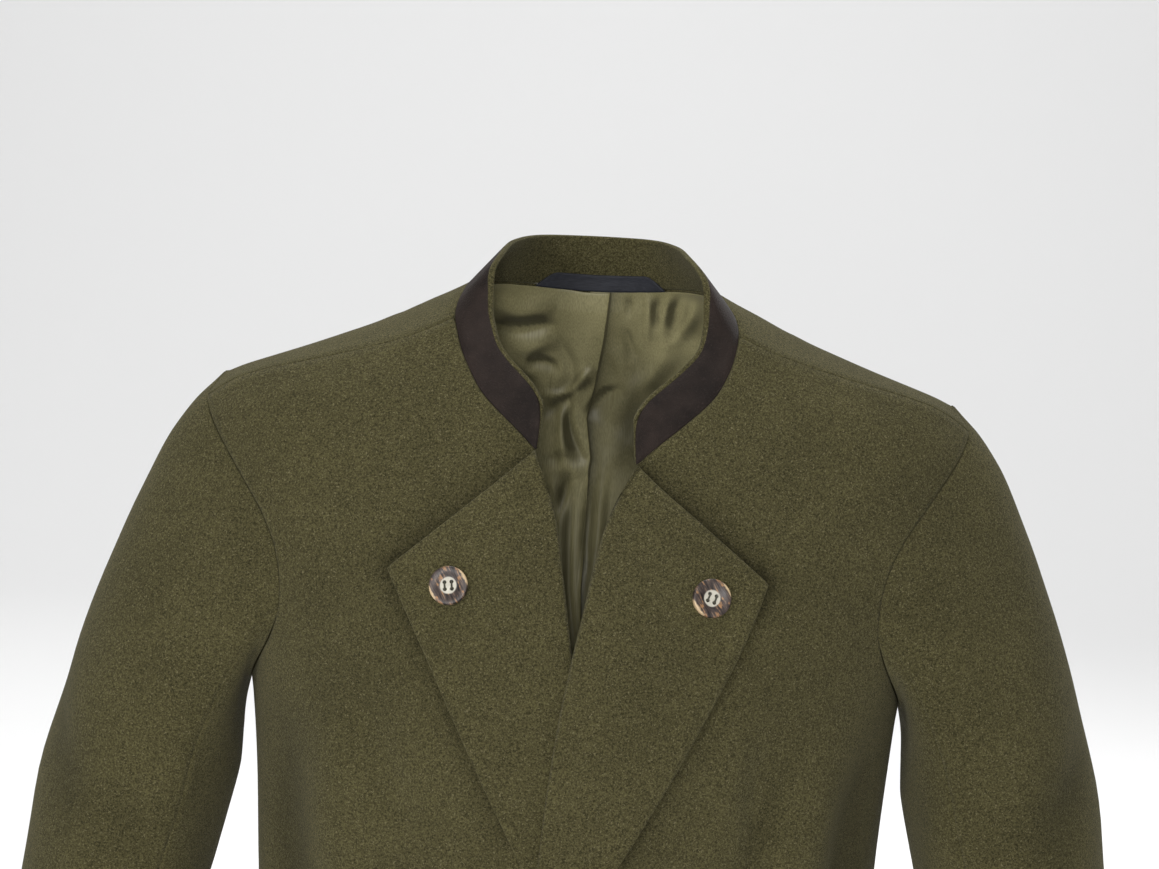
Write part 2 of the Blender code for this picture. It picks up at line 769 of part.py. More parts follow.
def build_hanger_loop(finish):
    """A strip across the back of the neck that stands a little off the collar."""
    start, up, inner_way, _, along = collar_frames(8)
    face = LEATHER + SEAM_GAP + CLOTH + LAID_ON + LOOP_THICKNESS / 2
    steps, rows = 14, 3
    net = []
    for r in range(rows):
        share = r / (rows - 1)
        half = LOOP_HALF_LENGTH[0] * (1 - share) + LOOP_HALF_LENGTH[1] * share
        rise = LOOP_BAND[0] * (1 - share) + LOOP_BAND[1] * share
        at = np.linspace(-half, half, steps + 1)
        slack = 1.4 * np.cos(at / half * math.pi / 2)

        def read(values):
            return np.stack([np.interp(at, along, values[:, k]) for k in range(3)], -1)

        net.append(read(start) + read(up) * rise + unit(read(inner_way)) * (face + slack)[:, None])
    net = np.array(net)
    normals = net_normals(net)
    add_wall("hanger_loop", net, normals, net_faces(rows, steps + 1), LOOP_THICKNESS, finish)


# Buttons

def button_mesh(finish):
    """A turned horn button with a sunk middle and four holes."""
    profile = [
        (0.0, 0.0), (9.4, 0.0), (BUTTON_RADIUS, 1.3), (BUTTON_RADIUS, 2.7),
        (10.0, 4.0), (7.4, 4.0), (5.7, 3.1), (0.0, 2.9),
    ]
    sections = []
    for k in range(BUTTON_SIDES):
        turn = 2 * math.pi * k / BUTTON_SIDES
        sections.append([(r * math.cos(turn), r * math.sin(turn), h) for r, h in profile[1:-1]])
    rings = np.array(sections).transpose(1, 0, 2)
    faces = net_faces(len(rings), BUTTON_SIDES, closed=True)
    faces.append(tuple(range(BUTTON_SIDES)))
    faces.append(tuple((len(rings) - 1) * BUTTON_SIDES + k for k in range(BUTTON_SIDES)))
    blank = add_object("button_blank", rings.reshape(-1, 3), faces, finish)
    hole_radius, hole_offset = 1.2, 2.1
    cutters = []
    for x in (-hole_offset, hole_offset):
        for y in (-hole_offset, hole_offset):
            bpy.ops.mesh.primitive_cylinder_add(
                vertices=6, radius=hole_radius * MILLIMETRE, depth=12 * MILLIMETRE,
                location=(x * MILLIMETRE, y * MILLIMETRE, 2 * MILLIMETRE),
            )
            cutter = bpy.context.object
            cutters.append(cutter)
            cut = blank.modifiers.new("hole", "BOOLEAN")
            cut.operation = "DIFFERENCE"
            cut.object = cutter
    evaluated = blank.evaluated_get(bpy.context.evaluated_depsgraph_get())
    mesh = bpy.data.meshes.new_from_object(evaluated)
    for spent in [*cutters, blank]:
        bpy.data.objects.remove(spent)
    mesh.name = "button"
    return mesh


def seat_button(name, mesh, cloth, x, z, twist):
    """A button laid on the outermost face of a piece of cloth, level with the cloth under its rim."""
    tree = BVHTree.FromObject(cloth, bpy.context.evaluated_depsgraph_get())
    touched = []
    for k in range(12):
        turn = 2 * math.pi * k / 12
        at = (x + BUTTON_RADIUS * math.cos(turn), -400, z + BUTTON_RADIUS * math.sin(turn))
        touched.append(tree.ray_cast(Vector(at) * MILLIMETRE, Vector((0, 1, 0)))[0])
    touched = np.array(touched)
    middle = touched.mean(axis=0)
    normal = np.linalg.svd(touched - middle)[2][2]
    normal = normal * -np.sign(normal[1])
    point = tree.ray_cast(Vector((x, -400, z)) * MILLIMETRE, Vector((0, 1, 0)))[0]
    level = max(((touched - middle) @ normal).max(), (np.array(point) - middle) @ normal)
    seat = Vector(middle + normal * (level + LAID_ON * MILLIMETRE))
    made = bpy.data.objects.new(name, mesh)
    bpy.context.scene.collection.objects.link(made)
    facing = Vector(normal).to_track_quat("Z", "Y").to_matrix().to_4x4()
    made.matrix_world = Matrix.Translation(seat) @ facing @ Matrix.Rotation(math.radians(twist), 4, "Z")


def build_buttons(fronts, finish):
    mesh = button_mesh(finish)
    x, z = LAPEL_BUTTON
    seat_button("button_lapel_left", mesh, fronts[1], x, z, -20)
    seat_button("button_lapel_right", mesh, fronts[-1], -x, z, 4)
    for count, height in enumerate(CLOSING_BUTTON_Z, start=1):
        seat_button(f"button_closing_{count}", mesh, fronts[1], 0, height, 10 * count)


def main():
    for old in list(bpy.data.objects):
        bpy.data.objects.remove(old)
    wool = material("olive wool", (0.085, 0.075, 0.032), 0.95)
    leather = material("dark brown leather", (0.045, 0.032, 0.034), 0.6)
    satin = material("olive satin", (0.13, 0.12, 0.065), 0.45)
    tape = material("navy tape", (0.03, 0.03, 0.04), 0.7)
    horn = material("stag horn", (0.10, 0.065, 0.045), 0.4)

    fronts = {1: build_front(1, "front_left", wool), -1: build_front(-1, "front_right", wool)}
    build_back(wool)
    build_lining(satin)
    for side, name in ((1, "sleeve_left"), (-1, "sleeve_right")):
        build_sleeve(side, name, wool)
    build_collar(leather, wool)
    build_hanger_loop(tape)
    bpy.context.view_layer.update()
    build_buttons(fronts, horn)


main()
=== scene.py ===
# %% [markdown]
# # A wool hunting jacket, filled out with nobody in it
#
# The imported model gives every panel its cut, its place and its thickness. This
# script dresses it: it turns the plain walls into soft cloth, gives each cloth
# and each button its own finish, and sets up the studio. Lengths are in metres,
# the front faces -Y, and +Z is up.

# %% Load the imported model
import math

import bmesh
import bpy
import numpy as np
from mathutils import Matrix, Vector, noise
from mathutils.bvhtree import BVHTree


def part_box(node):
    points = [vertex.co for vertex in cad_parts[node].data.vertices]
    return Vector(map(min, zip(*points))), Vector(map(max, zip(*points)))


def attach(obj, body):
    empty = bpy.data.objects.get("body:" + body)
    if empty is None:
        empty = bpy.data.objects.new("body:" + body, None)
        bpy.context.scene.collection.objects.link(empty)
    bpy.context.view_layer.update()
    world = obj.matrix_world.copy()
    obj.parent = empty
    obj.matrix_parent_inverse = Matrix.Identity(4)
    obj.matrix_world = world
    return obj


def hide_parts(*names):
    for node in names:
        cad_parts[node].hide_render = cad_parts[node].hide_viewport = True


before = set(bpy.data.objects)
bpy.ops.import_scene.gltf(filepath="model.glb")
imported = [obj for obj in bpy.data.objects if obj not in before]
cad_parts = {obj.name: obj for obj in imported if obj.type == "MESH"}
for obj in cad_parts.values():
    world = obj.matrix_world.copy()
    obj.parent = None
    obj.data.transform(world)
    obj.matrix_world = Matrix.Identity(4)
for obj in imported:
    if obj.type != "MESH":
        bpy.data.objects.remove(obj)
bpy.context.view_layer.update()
MM = 0.001


def clamp(value, low=0, high=1):
    """The value, but never below low or above high."""
    return min(max(value, low), high)


def bell(distance, width):
    """A smooth bump: 1 where the distance is 0, and hardly anything past twice the width."""
    exp = np.exp if isinstance(distance, np.ndarray) else math.exp
    return exp(-((distance / width) ** 2))


def add_object(name, data):
    """Puts a new object with the given data in the scene."""
    thing = bpy.data.objects.new(name, data)
    bpy.context.scene.collection.objects.link(thing)
    return thing


def deselect_all():
    """Every operator acts on all that is selected, so each step starts from nothing."""
    if bpy.context.mode != "OBJECT":
        bpy.ops.object.mode_set(mode="OBJECT")
    for thing in list(bpy.context.selected_objects):
        thing.select_set(False)


def select_only(thing):
    """Selects one object and makes it the one that operators act on."""
    deselect_all()
    thing.select_set(True)
    bpy.context.view_layer.objects.active = thing


deselect_all()
print("nodes:", ", ".join(sorted(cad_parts)))

# %% [markdown]
# ## Camera
#
# The photo is a close-up taken with a long lens, a little above the chest, and
# the jacket leans slightly to one side in it. So the camera stands 2.4 m away,
# looks down by a few degrees and is rolled to give the same lean.

# %% Camera
LOOK_DOWN = math.radians(5.0)
ROLL = math.radians(2.76)
DISTANCE = 2.4
LOOK_AT = Vector((-0.00473, 0, -0.08468))
LENS, SENSOR = 121.42, 36  # in mm

camera_data = bpy.data.cameras.new("camera")
camera_data.lens = LENS
camera_data.sensor_width = SENSOR
camera = add_object("camera", camera_data)
towards_camera = Vector((0, -math.cos(LOOK_DOWN), math.sin(LOOK_DOWN)))
facing = (-towards_camera).to_track_quat("-Z", "Y").to_matrix().to_4x4()
camera.matrix_world = (
    Matrix.Translation(LOOK_AT + towards_camera * DISTANCE) @ facing @ Matrix.Rotation(ROLL, 4, "Z")
)
bpy.context.scene.camera = camera
print("camera at", [round(value, 3) for value in camera.matrix_world.translation])

# %% [markdown]
# ## Studio
#
# A pale floor that curves up into a backdrop has no edge to distract the eye.
# It is one plane: its back edge is extruded up, and a bevel rounds the corner.

# %% Floor and backdrop
FLOOR_Z = -0.80
FLOOR_WIDTH, FLOOR_DEPTH, WALL_HEIGHT = 16, 13, 7
CURVE_RADIUS, CURVE_STEPS = 2.0, 16
PAPER_GREY = 0.84

bpy.ops.mesh.primitive_plane_add(size=1, location=(0, 0, FLOOR_Z))
backdrop = bpy.context.object
backdrop.name = "backdrop"
backdrop.scale = (FLOOR_WIDTH, FLOOR_DEPTH, 1)
bpy.ops.object.transform_apply(location=True, rotation=True, scale=True)
bpy.ops.object.mode_set(mode="EDIT")
bpy.ops.mesh.select_all(action="DESELECT")
bpy.ops.object.mode_set(mode="OBJECT")
for edge in backdrop.data.edges:
    ends = [backdrop.data.vertices[k].co.y for k in edge.vertices]
    edge.select = min(ends) > FLOOR_DEPTH / 2 - 0.5
bpy.ops.object.mode_set(mode="EDIT")
bpy.ops.mesh.select_mode(type="EDGE")
bpy.ops.mesh.extrude_region_move(TRANSFORM_OT_translate={"value": (0, 0, WALL_HEIGHT)})
bpy.ops.object.mode_set(mode="OBJECT")
curve = backdrop.modifiers.new("curve", "BEVEL")
curve.width = CURVE_RADIUS
curve.segments = CURVE_STEPS
bpy.ops.object.modifier_apply(modifier="curve")
bpy.ops.object.shade_smooth()

paper = bpy.data.materials.new("pale grey paper")
paper.use_nodes = True
paper_shader = paper.node_tree.nodes["Principled BSDF"]
paper_shader.inputs["Base Color"].default_value = (PAPER_GREY, PAPER_GREY, PAPER_GREY, 1)
paper_shader.inputs["Roughness"].default_value = 0.95
backdrop.data.materials.append(paper)
print("backdrop", len(backdrop.data.polygons), "faces")

# %% [markdown]
# ## Light
#
# Cloth shows its nap in soft light. One lamp stands to the left, so that each
# layer throws a narrow shade on the one behind it. A second is right behind the
# camera and shines into the open neck. One above picks out the shoulders, one
# behind shows the folds of the back, and one lights the backdrop alone.

# %% Lights
LAMPS = (
    # name, place, what it is aimed at, size, watts
    ("key", (-1.15, -2.1, 0.15), (0, 0, -0.15), 0.5, 21),
    ("front", (-0.08, -2.6, 0.16), (0, 0, -0.2), 0.35, 36),
    ("top", (0.1, 0.25, 2.3), (0, 0, -0.2), 1.2, 52),
    ("back", (1.9, 2.2, 1.1), (0, 0, -0.3), 0.6, 26),
    ("wall", (0, 2.6, 3.0), (0, 5.6, -0.8), 3.0, 110),
)
SKY_STRENGTH = 0.33


def add_lamp(name, place, target, size, watts):
    lamp = bpy.data.lights.new(name, "AREA")
    lamp.size = size
    lamp.energy = watts
    holder = add_object(name, lamp)
    holder.location = place
    holder.rotation_euler = (Vector(target) - Vector(place)).to_track_quat("-Z", "Y").to_euler()


for row in LAMPS:
    add_lamp(*row)

sky = bpy.data.worlds.new("studio")
sky.use_nodes = True
sky.node_tree.nodes["Background"].inputs["Color"].default_value = (1, 1, 1, 1)
sky.node_tree.nodes["Background"].inputs["Strength"].default_value = SKY_STRENGTH
bpy.context.scene.world = sky
bpy.context.scene.view_settings.view_transform = "Standard"
print("lamps:", ", ".join(row[0] for row in LAMPS))

# %% [markdown]
# ## Tools for materials
#
# Each finish is a small tree of nodes. These helpers add a node with its
# values, and wire one socket to another. What several cloths share is a node
# group with named inputs and outputs, made once. Two more helpers lay a noise
# pattern and read the point attribute that says how much shade is painted into
# a cloth's colour.

# %% Node helpers
COLOUR, FLOAT = "NodeSocketColor", "NodeSocketFloat"
# a Mix node repeats its socket names for each kind of data, so its colours go by number
MIX_SHARE, MIX_FIRST, MIX_SECOND, MIX_RESULT = 0, 6, 7, 2


def add_node(tree, kind, inputs=(), **settings):
    """A new node with its settings; each input gets a value or a wire."""
    node = tree.nodes.new(kind)
    for name, value in settings.items():
        setattr(node, name, value)
    for name, value in dict(inputs).items():
        if isinstance(value, bpy.types.NodeSocket):
            tree.links.new(value, node.inputs[name])
        else:
            node.inputs[name].default_value = value
    return node


def add_noise(tree, where, scale, detail, **more):
    """Noise at a place; more gives its Roughness and Distortion."""
    inputs = {"Vector": where, "Scale": scale, "Detail": detail, **more}
    return add_node(tree, "ShaderNodeTexNoise", inputs).outputs["Fac"]


def add_math(tree, operation, first, second=0.0):
    return add_node(tree, "ShaderNodeMath", {0: first, 1: second}, operation=operation).outputs[0]


def ramp_between(tree, value, low, high):
    """0 below low, 1 above high, and even between."""
    return add_node(
        tree, "ShaderNodeMapRange", {"Value": value, "From Min": low, "From Max": high},
    ).outputs["Result"]


def blend(tree, share, first, second):
    """The first colour where the share is 0, and the second where it is 1."""
    return add_node(
        tree, "ShaderNodeMix", {MIX_SHARE: share, MIX_FIRST: first, MIX_SECOND: second}, data_type="RGBA",
    ).outputs[MIX_RESULT]


def darken_by_painted_shade(tree, colour, brightness):
    """The colour with painted shade: down to the given brightness where the shade attribute is 1."""
    painted_shade = add_node(tree, "ShaderNodeAttribute", attribute_name="painted_shade").outputs["Fac"]
    darkened = add_node(tree, "ShaderNodeHueSaturation", {"Color": colour, "Value": brightness})
    return blend(tree, ramp_between(tree, painted_shade, 0.0, 1.0), colour, darkened.outputs["Color"])


def new_group(name, inputs, outputs):
    """A shader node group with the given sockets, and its input and output nodes."""
    tree = bpy.data.node_groups.new(name, "ShaderNodeTree")
    for label, kind in inputs.items():
        tree.interface.new_socket(label, in_out="INPUT", socket_type=kind)
    for label, kind in outputs.items():
        tree.interface.new_socket(label, in_out="OUTPUT", socket_type=kind)
    return tree, tree.nodes.new("NodeGroupInput"), tree.nodes.new("NodeGroupOutput")


def new_material(name, roughness, bump, **sockets):
    """A material with a Principled shader and a bump node, ready for colour and height."""
    made = bpy.data.materials.new(name)
    made.use_nodes = True
    tree = made.node_tree
    shader = tree.nodes["Principled BSDF"]
    shader.inputs["Roughness"].default_value = roughness
    for label, value in sockets.items():
        shader.inputs[label].default_value = value
    relief = add_node(tree, "ShaderNodeBump", {"Strength": 1.0, "Distance": bump})
    tree.links.new(relief.outputs["Normal"], shader.inputs["Normal"])
    print("made", name)
    return made, tree, shader, relief


# %% [markdown]
# ## Wool
#
# Milled wool is spun from fibres dyed in several colours, so close to it has a
# heather of dark and yellowish specks, and from afar it is one soft olive. Fine
# noise picks between a dark and a light yarn colour, a sparser one adds flecks,
# and a broad one varies the tone by a little, as light on a worn nap does. Shade
# is painted into the colour beside the turned-back corners and in the bottom of
# folds: a point attribute says how dark.

# %% Heathered fibres
CLUMP_SCALE, TONE_SCALE, SPOT_SCALE = 820.0, 16.0, 1150.0
# brightness of the wool where its painted shade is full
WOOL_SHADE_BRIGHTNESS = 0.34

heather, heather_in, heather_out = new_group(
    "heathered fibres",
    {"Dark": COLOUR, "Light": COLOUR, "Fleck": COLOUR, "Fibre scale": FLOAT},
    {"Color": COLOUR, "Height": FLOAT},
)
place = add_node(heather, "ShaderNodeTexCoord").outputs["Object"]
fibres = add_noise(heather, place, heather_in.outputs["Fibre scale"], 3.0, Roughness=0.65, Distortion=1.2)
clumps = add_noise(heather, place, CLUMP_SCALE, 2.0, Roughness=0.6)
tone = add_noise(heather, place, TONE_SCALE, 6.0, Roughness=0.62)
spots = add_noise(heather, place, SPOT_SCALE, 1.0, Distortion=0.8)
both = add_math(heather, "ADD", fibres, clumps)
mixed = blend(
    heather, ramp_between(heather, both, 0.83, 1.17), heather_in.outputs["Dark"], heather_in.outputs["Light"],
)
brighter = add_node(
    heather, "ShaderNodeMapRange",
    {"Value": tone, "From Min": 0.3, "From Max": 0.7, "To Min": 0.86, "To Max": 1.14},
).outputs["Result"]
toned = add_node(heather, "ShaderNodeHueSaturation", {"Color": mixed, "Value": brighter}).outputs["Color"]
flecked = blend(heather, ramp_between(heather, spots, 0.62, 0.70), toned, heather_in.outputs["Fleck"])
# painted shade: the colour is darkened where the point attribute says
heather.links.new(darken_by_painted_shade(heather, flecked, WOOL_SHADE_BRIGHTNESS), heather_out.inputs["Color"])
heather.links.new(both, heather_out.inputs["Height"])
print("heathered fibres:", len(heather.nodes), "nodes")

# %% Wool
FIBRE_SCALE = 1500.0
WOOL_DARK, WOOL_LIGHT = (0.023, 0.0205, 0.0088, 1), (0.080, 0.071, 0.0305, 1)
WOOL_FLECK = (0.125, 0.110, 0.058, 1)

wool, wool_tree, wool_shader, wool_relief = new_material(
    "heathered olive wool", 0.95, 0.0005,
    **{"Sheen Weight": 0.16, "Sheen Roughness": 0.4, "Sheen Tint": (0.60, 0.56, 0.38, 1),
       "Specular IOR Level": 0.08},
)
wool_fibres = add_node(wool_tree, "ShaderNodeGroup", node_tree=heather)
for label, value in (
    ("Dark", WOOL_DARK), ("Light", WOOL_LIGHT), ("Fleck", WOOL_FLECK), ("Fibre scale", FIBRE_SCALE),
):
    wool_fibres.inputs[label].default_value = value
wool_tree.links.new(wool_fibres.outputs["Color"], wool_shader.inputs["Base Color"])
wool_tree.links.new(wool_fibres.outputs["Height"], wool_relief.inputs["Height"])

# %% [markdown]
# ## Leather of the collar
#
# The collar is faced with a brushed, dark brown leather. It has hardly any
# grain, only a short nap that lies darker and lighter in patches.

# %% Leather
PORE_SCALE, NAP_SCALE, PATCH_SCALE = 1500.0, 900.0, 38.0
LEATHER_DARK, LEATHER_LIGHT = (0.0082, 0.0054, 0.0043, 1), (0.0205, 0.0138, 0.0111, 1)
LEATHER_NAP = (0.034, 0.0238, 0.0195, 1)

leather, leather_tree, leather_shader, leather_relief = new_material(
    "dark brown collar leather", 0.66, 0.00025,
    **{"Sheen Weight": 0.03, "Sheen Roughness": 0.5, "Sheen Tint": (0.75, 0.60, 0.54, 1),
       "Specular IOR Level": 0.12},
)
place = add_node(leather_tree, "ShaderNodeTexCoord").outputs["Object"]
pores = add_node(leather_tree, "ShaderNodeTexVoronoi", {"Vector": place, "Scale": PORE_SCALE})
nap = add_noise(leather_tree, place, NAP_SCALE, 3.0)
patches = add_noise(leather_tree, place, PATCH_SCALE, 4.0, Roughness=0.6)
patchy = ramp_between(leather_tree, patches, 0.35, 0.68)
raised = ramp_between(leather_tree, nap, 0.55, 0.9)
leather_tone = blend(leather_tree, patchy, LEATHER_DARK, LEATHER_LIGHT)
leather_tone = blend(leather_tree, raised, leather_tone, LEATHER_NAP)
rough = add_math(leather_tree, "ADD", pores.outputs["Distance"], nap)
leather_tree.links.new(leather_tone, leather_shader.inputs["Base Color"])
leather_tree.links.new(rough, leather_relief.inputs["Height"])

# %% [markdown]
# ## Satin, tape and thread
#
# Satin shines because long warp threads float on its face. Noise drawn out
# along the height gives those threads, both in colour and in relief. The tape
# of the hanger loop is woven the same way, closer and much darker. Where satin
# turns away in a crease, shade is painted into it, by the same attribute as the
# wool.

# %% Satin, tape and thread
CLOUD_SCALE = 30.0
# brightness of the satin where its painted shade is full
SATIN_SHADE_BRIGHTNESS = 0.22


def threaded_finish(name, dark, light, roughness, thread_scale, along, bump, sheen):
    """Cloth whose threads show: noise that is drawn out along one axis."""
    made, tree, shader, relief = new_material(
        name, roughness, bump, **{"Sheen Weight": sheen, "Specular IOR Level": 0.3},
    )
    where = add_node(tree, "ShaderNodeTexCoord").outputs["Object"]
    drawn = add_node(tree, "ShaderNodeMapping", {"Vector": where, "Scale": along}).outputs["Vector"]
    threads = add_noise(tree, drawn, thread_scale, 2.0)
    both = add_math(tree, "ADD", threads, add_noise(tree, where, CLOUD_SCALE, 3.0))
    colour = blend(tree, ramp_between(tree, both, 0.75, 1.25), (*dark, 1), (*light, 1))
    # painted shade from the point attribute
    tree.links.new(darken_by_painted_shade(tree, colour, SATIN_SHADE_BRIGHTNESS), shader.inputs["Base Color"])
    tree.links.new(threads, relief.inputs["Height"])
    return made


satin = threaded_finish(
    "olive satin", (0.197, 0.178, 0.085), (0.321, 0.291, 0.149), 0.46, 1700.0, (1, 1, 0.03), 0.00014, 0.05,
)
tape = threaded_finish(
    "dark navy tape", (0.009, 0.0098, 0.014), (0.022, 0.0235, 0.031), 0.65, 1500.0, (0.08, 1, 1), 0.0002,
    0.06,
)
thread = threaded_finish(
    "dark olive thread", (0.022, 0.021, 0.013), (0.060, 0.056, 0.036), 0.7, 4000.0, (1, 1, 1), 0.0001, 0.2,
)

# %% [markdown]
# ## Horn
#
# The buttons are cut from antler. The rim is streaked slantwise in dark brown and
# grey, two opposite edges are still cream, and the middle, where the pith shows,
# is pale. All of it follows a UV map of the button's face, with its middle at
# 0.5, 0.5.

# %% Horn
PALE_MIDDLE, PALE_EDGE = 0.215, 0.03  # on the map of the face, where the button is 1 across
SLANT = math.radians(30)
STREAK_SIZE = (0.085, 0.55, 1)
HORN_DARK, HORN_GREY = (0.009, 0.006, 0.005, 1), (0.055, 0.039, 0.033, 1)
HORN_FAWN, HORN_AMBER, HORN_CREAM = (0.165, 0.113, 0.078, 1), (0.26, 0.14, 0.065, 1), (0.46, 0.34, 0.20, 1)
BONE_DARK, BONE_LIGHT = (0.34, 0.32, 0.26, 1), (0.54, 0.51, 0.43, 1)

horn, horn_tree, horn_shader, horn_relief = new_material(
    "streaked antler", 0.45, 0.0002,
    **{"Specular IOR Level": 0.35, "Coat Weight": 0.05, "Coat Roughness": 0.3},
)


def horn_layer(below, value, low, high, colour):
    """Lays a colour over what is below it, where the value rises from low to high."""
    return blend(horn_tree, ramp_between(horn_tree, value, low, high), below, colour)


# %% Streaks of the horn
face_map = add_node(horn_tree, "ShaderNodeUVMap", uv_map="face").outputs["UV"]
slanted = add_node(
    horn_tree, "ShaderNodeMapping", {"Vector": face_map, "Rotation": (0, 0, SLANT), "Scale": STREAK_SIZE},
    vector_type="TEXTURE",
).outputs["Vector"]
streaks = add_noise(horn_tree, slanted, 1.0, 4.0, Roughness=0.6, Distortion=0.4)
blots = add_noise(horn_tree, face_map, 4.5, 2.0)
horn_colour = horn_layer(HORN_DARK, streaks, 0.38, 0.54, HORN_GREY)
horn_colour = horn_layer(horn_colour, streaks, 0.55, 0.64, HORN_FAWN)
horn_colour = horn_layer(horn_colour, add_math(horn_tree, "ADD", streaks, blots), 1.08, 1.18, HORN_AMBER)

# %% Edges and middle of the horn
from_middle = add_node(
    horn_tree, "ShaderNodeVectorMath", {0: face_map, 1: (0.5, 0.5, 0)}, operation="SUBTRACT",
).outputs[0]
aside = add_node(
    horn_tree, "ShaderNodeVectorMath", {0: from_middle, 1: (math.cos(SLANT), math.sin(SLANT), 0)},
    operation="DOT_PRODUCT",
).outputs["Value"]
edge_share = add_math(
    horn_tree, "ADD", add_math(horn_tree, "ABSOLUTE", aside), add_math(horn_tree, "MULTIPLY", blots, 0.16),
)
horn_colour = horn_layer(horn_colour, edge_share, 0.50, 0.54, HORN_CREAM)
radius = add_node(horn_tree, "ShaderNodeVectorMath", {0: from_middle}, operation="LENGTH").outputs["Value"]
wavy = add_math(horn_tree, "ADD", radius, add_math(horn_tree, "MULTIPLY", blots, 0.03))
bone = blend(horn_tree, blots, BONE_DARK, BONE_LIGHT)
horn_colour = horn_layer(bone, wavy, PALE_MIDDLE, PALE_MIDDLE + PALE_EDGE, horn_colour)
horn_tree.links.new(horn_colour, horn_shader.inputs["Base Color"])
horn_tree.links.new(streaks, horn_relief.inputs["Height"])
print(horn.name, "has", len(horn_tree.nodes), "nodes")

# %% [markdown]
# ## From a plain wall to soft cloth
#
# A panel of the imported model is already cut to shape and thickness, but it is
# made of loose triangles. So it is copied, its points are merged and its
# triangles are joined to four-sided faces. Two rounds of subdivision then round
# it, and a crease on the rim keeps the cut edge where the seam needs it.

# %% Cloth from a node
RIM_ANGLE = math.radians(50)
SEAM_REACH = 0.17 * MM
RIM_WIDTH = 3.2 * MM  # faces that are narrower are the cut edge of a wall
KEEP_BELOW = -0.45  # corners under this height, at hem and cuffs, stay sharp
MERGE_DISTANCE = 0.00002
ROUNDS = 2


def sharp_of(edges):
    return [edge for edge in edges if edge.calc_face_angle(0) > RIM_ANGLE]


def close_seams(piece):
    """Lets cut edges grow by half a seam gap, so that sewn panels touch, and marks the corners to keep."""
    shape = bmesh.new()
    shape.from_mesh(piece.data)
    shape.normal_update()
    kept = shape.verts.layers.float.new("crease_vert")
    for vertex in shape.verts:
        sharp = sharp_of(vertex.link_edges)
        vertex[kept] = 1.0 if len(sharp) >= 3 and vertex.co.z < KEEP_BELOW else 0.0
    moves = {}
    for face in shape.faces:
        if len(sharp_of(face.edges)) < 2 or min(edge.calc_length() for edge in face.edges) > RIM_WIDTH:
            continue
        for vertex in face.verts:
            moves.setdefault(vertex, []).append(face.normal.copy())
    for vertex, normals in moves.items():
        vertex.co += sum(normals, Vector()).normalized() * SEAM_REACH
    shape.to_mesh(piece.data)
    shape.free()


def cloth_from(node, name, finish, rim=0.85):
    """A soft copy of a packed panel; rim says how sharp its cut edge stays, from 0 to 1."""
    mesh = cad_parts[node].data.copy()
    mesh.materials.clear()
    mesh.materials.append(finish)
    mesh.name = name
    piece = add_object(name, mesh)
    select_only(piece)
    bpy.ops.object.mode_set(mode="EDIT")
    bpy.ops.mesh.select_all(action="SELECT")
    bpy.ops.mesh.remove_doubles(threshold=MERGE_DISTANCE)
    bpy.ops.mesh.tris_convert_to_quads(face_threshold=math.radians(60), shape_threshold=math.radians(80))
    bpy.ops.mesh.customdata_custom_splitnormals_clear()
    bpy.ops.object.mode_set(mode="OBJECT")
    close_seams(piece)
    bpy.ops.object.mode_set(mode="EDIT")
    bpy.ops.mesh.select_all(action="DESELECT")
    bpy.ops.mesh.select_mode(type="EDGE")
    bpy.ops.mesh.edges_select_sharp(sharpness=RIM_ANGLE)
    bpy.ops.transform.edge_crease(value=rim)
    bpy.ops.object.mode_set(mode="OBJECT")
    smooth = piece.modifiers.new("smooth", "SUBSURF")
    smooth.levels = ROUNDS
    smooth.render_levels = ROUNDS
    bpy.ops.object.modifier_apply(modifier="smooth")
    bpy.ops.object.shade_smooth()
    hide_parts(node)
    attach(piece, "root")
    return piece


def print_area(piece):
    """Prints the area of one face of a cloth, to compare with its cut."""
    area = sum(face.area for face in piece.data.polygons) / 2
    print(piece.name, "one face", round(area, 5), "m2,", len(piece.data.polygons), "faces")


# %% [markdown]
# ## Folds
#
# A filled-out jacket still has soft folds: from the armholes, at the waist,
# between the shoulder blades and at the elbows. Each is one row of a table: the
# place of its two ends, how wide it is and how far it stands out (or, below 0,
# sinks in). Both faces of the wall move together, and all pieces that lie on
# each other use the same table, so nothing pokes through. In the bottom of a
# fold, shade is painted into the wool's colour.

# %% Fold table of the body
# turn from the centre front in degrees and height in mm, twice, then width and
# height of the fold in mm
BODY_FOLDS = (
    (52, -240, 44, -330, 13, -2.6),
    (62, -262, 57, -372, 15, 2.8),
    (74, -250, 70, -395, 17, -3.6),
    (66, -405, 40, -438, 15, -2.6),
    (80, -430, 76, -600, 20, 3.2),
    (60, -500, 57, -715, 24, -2.6),
    (36, -560, 33, -735, 26, 2.4),
    (-50, -232, -43, -318, 12, -2.4),
    (-59, -255, -52, -380, 16, 2.6),
    (-71, -262, -69, -400, 18, -3.4),
    (-72, -415, -47, -452, 14, -2.8),
    (-82, -450, -77, -610, 19, 3.0),
    (-57, -480, -60, -700, 25, -2.8),
    (-31, -575, -29, -735, 24, 2.2),
    (126, -180, 138, -330, 18, 3.0),
    (118, -215, 121, -400, 19, -3.8),
    (148, -120, 152, -260, 24, -2.4),
    (134, -400, 168, -428, 17, -3.0),
    (110, -440, 113, -640, 22, 3.2),
    (146, -470, 150, -720, 28, -2.8),
    (-128, -190, -136, -320, 17, 2.8),
    (-116, -205, -122, -390, 20, -3.6),
    (-150, -110, -149, -250, 23, -2.2),
    (-130, -412, -163, -440, 16, -2.8),
    (-112, -430, -109, -655, 21, 3.0),
    (-144, -500, -147, -725, 26, -2.6),
    (176, -455, 178, -730, 30, 2.0),
)
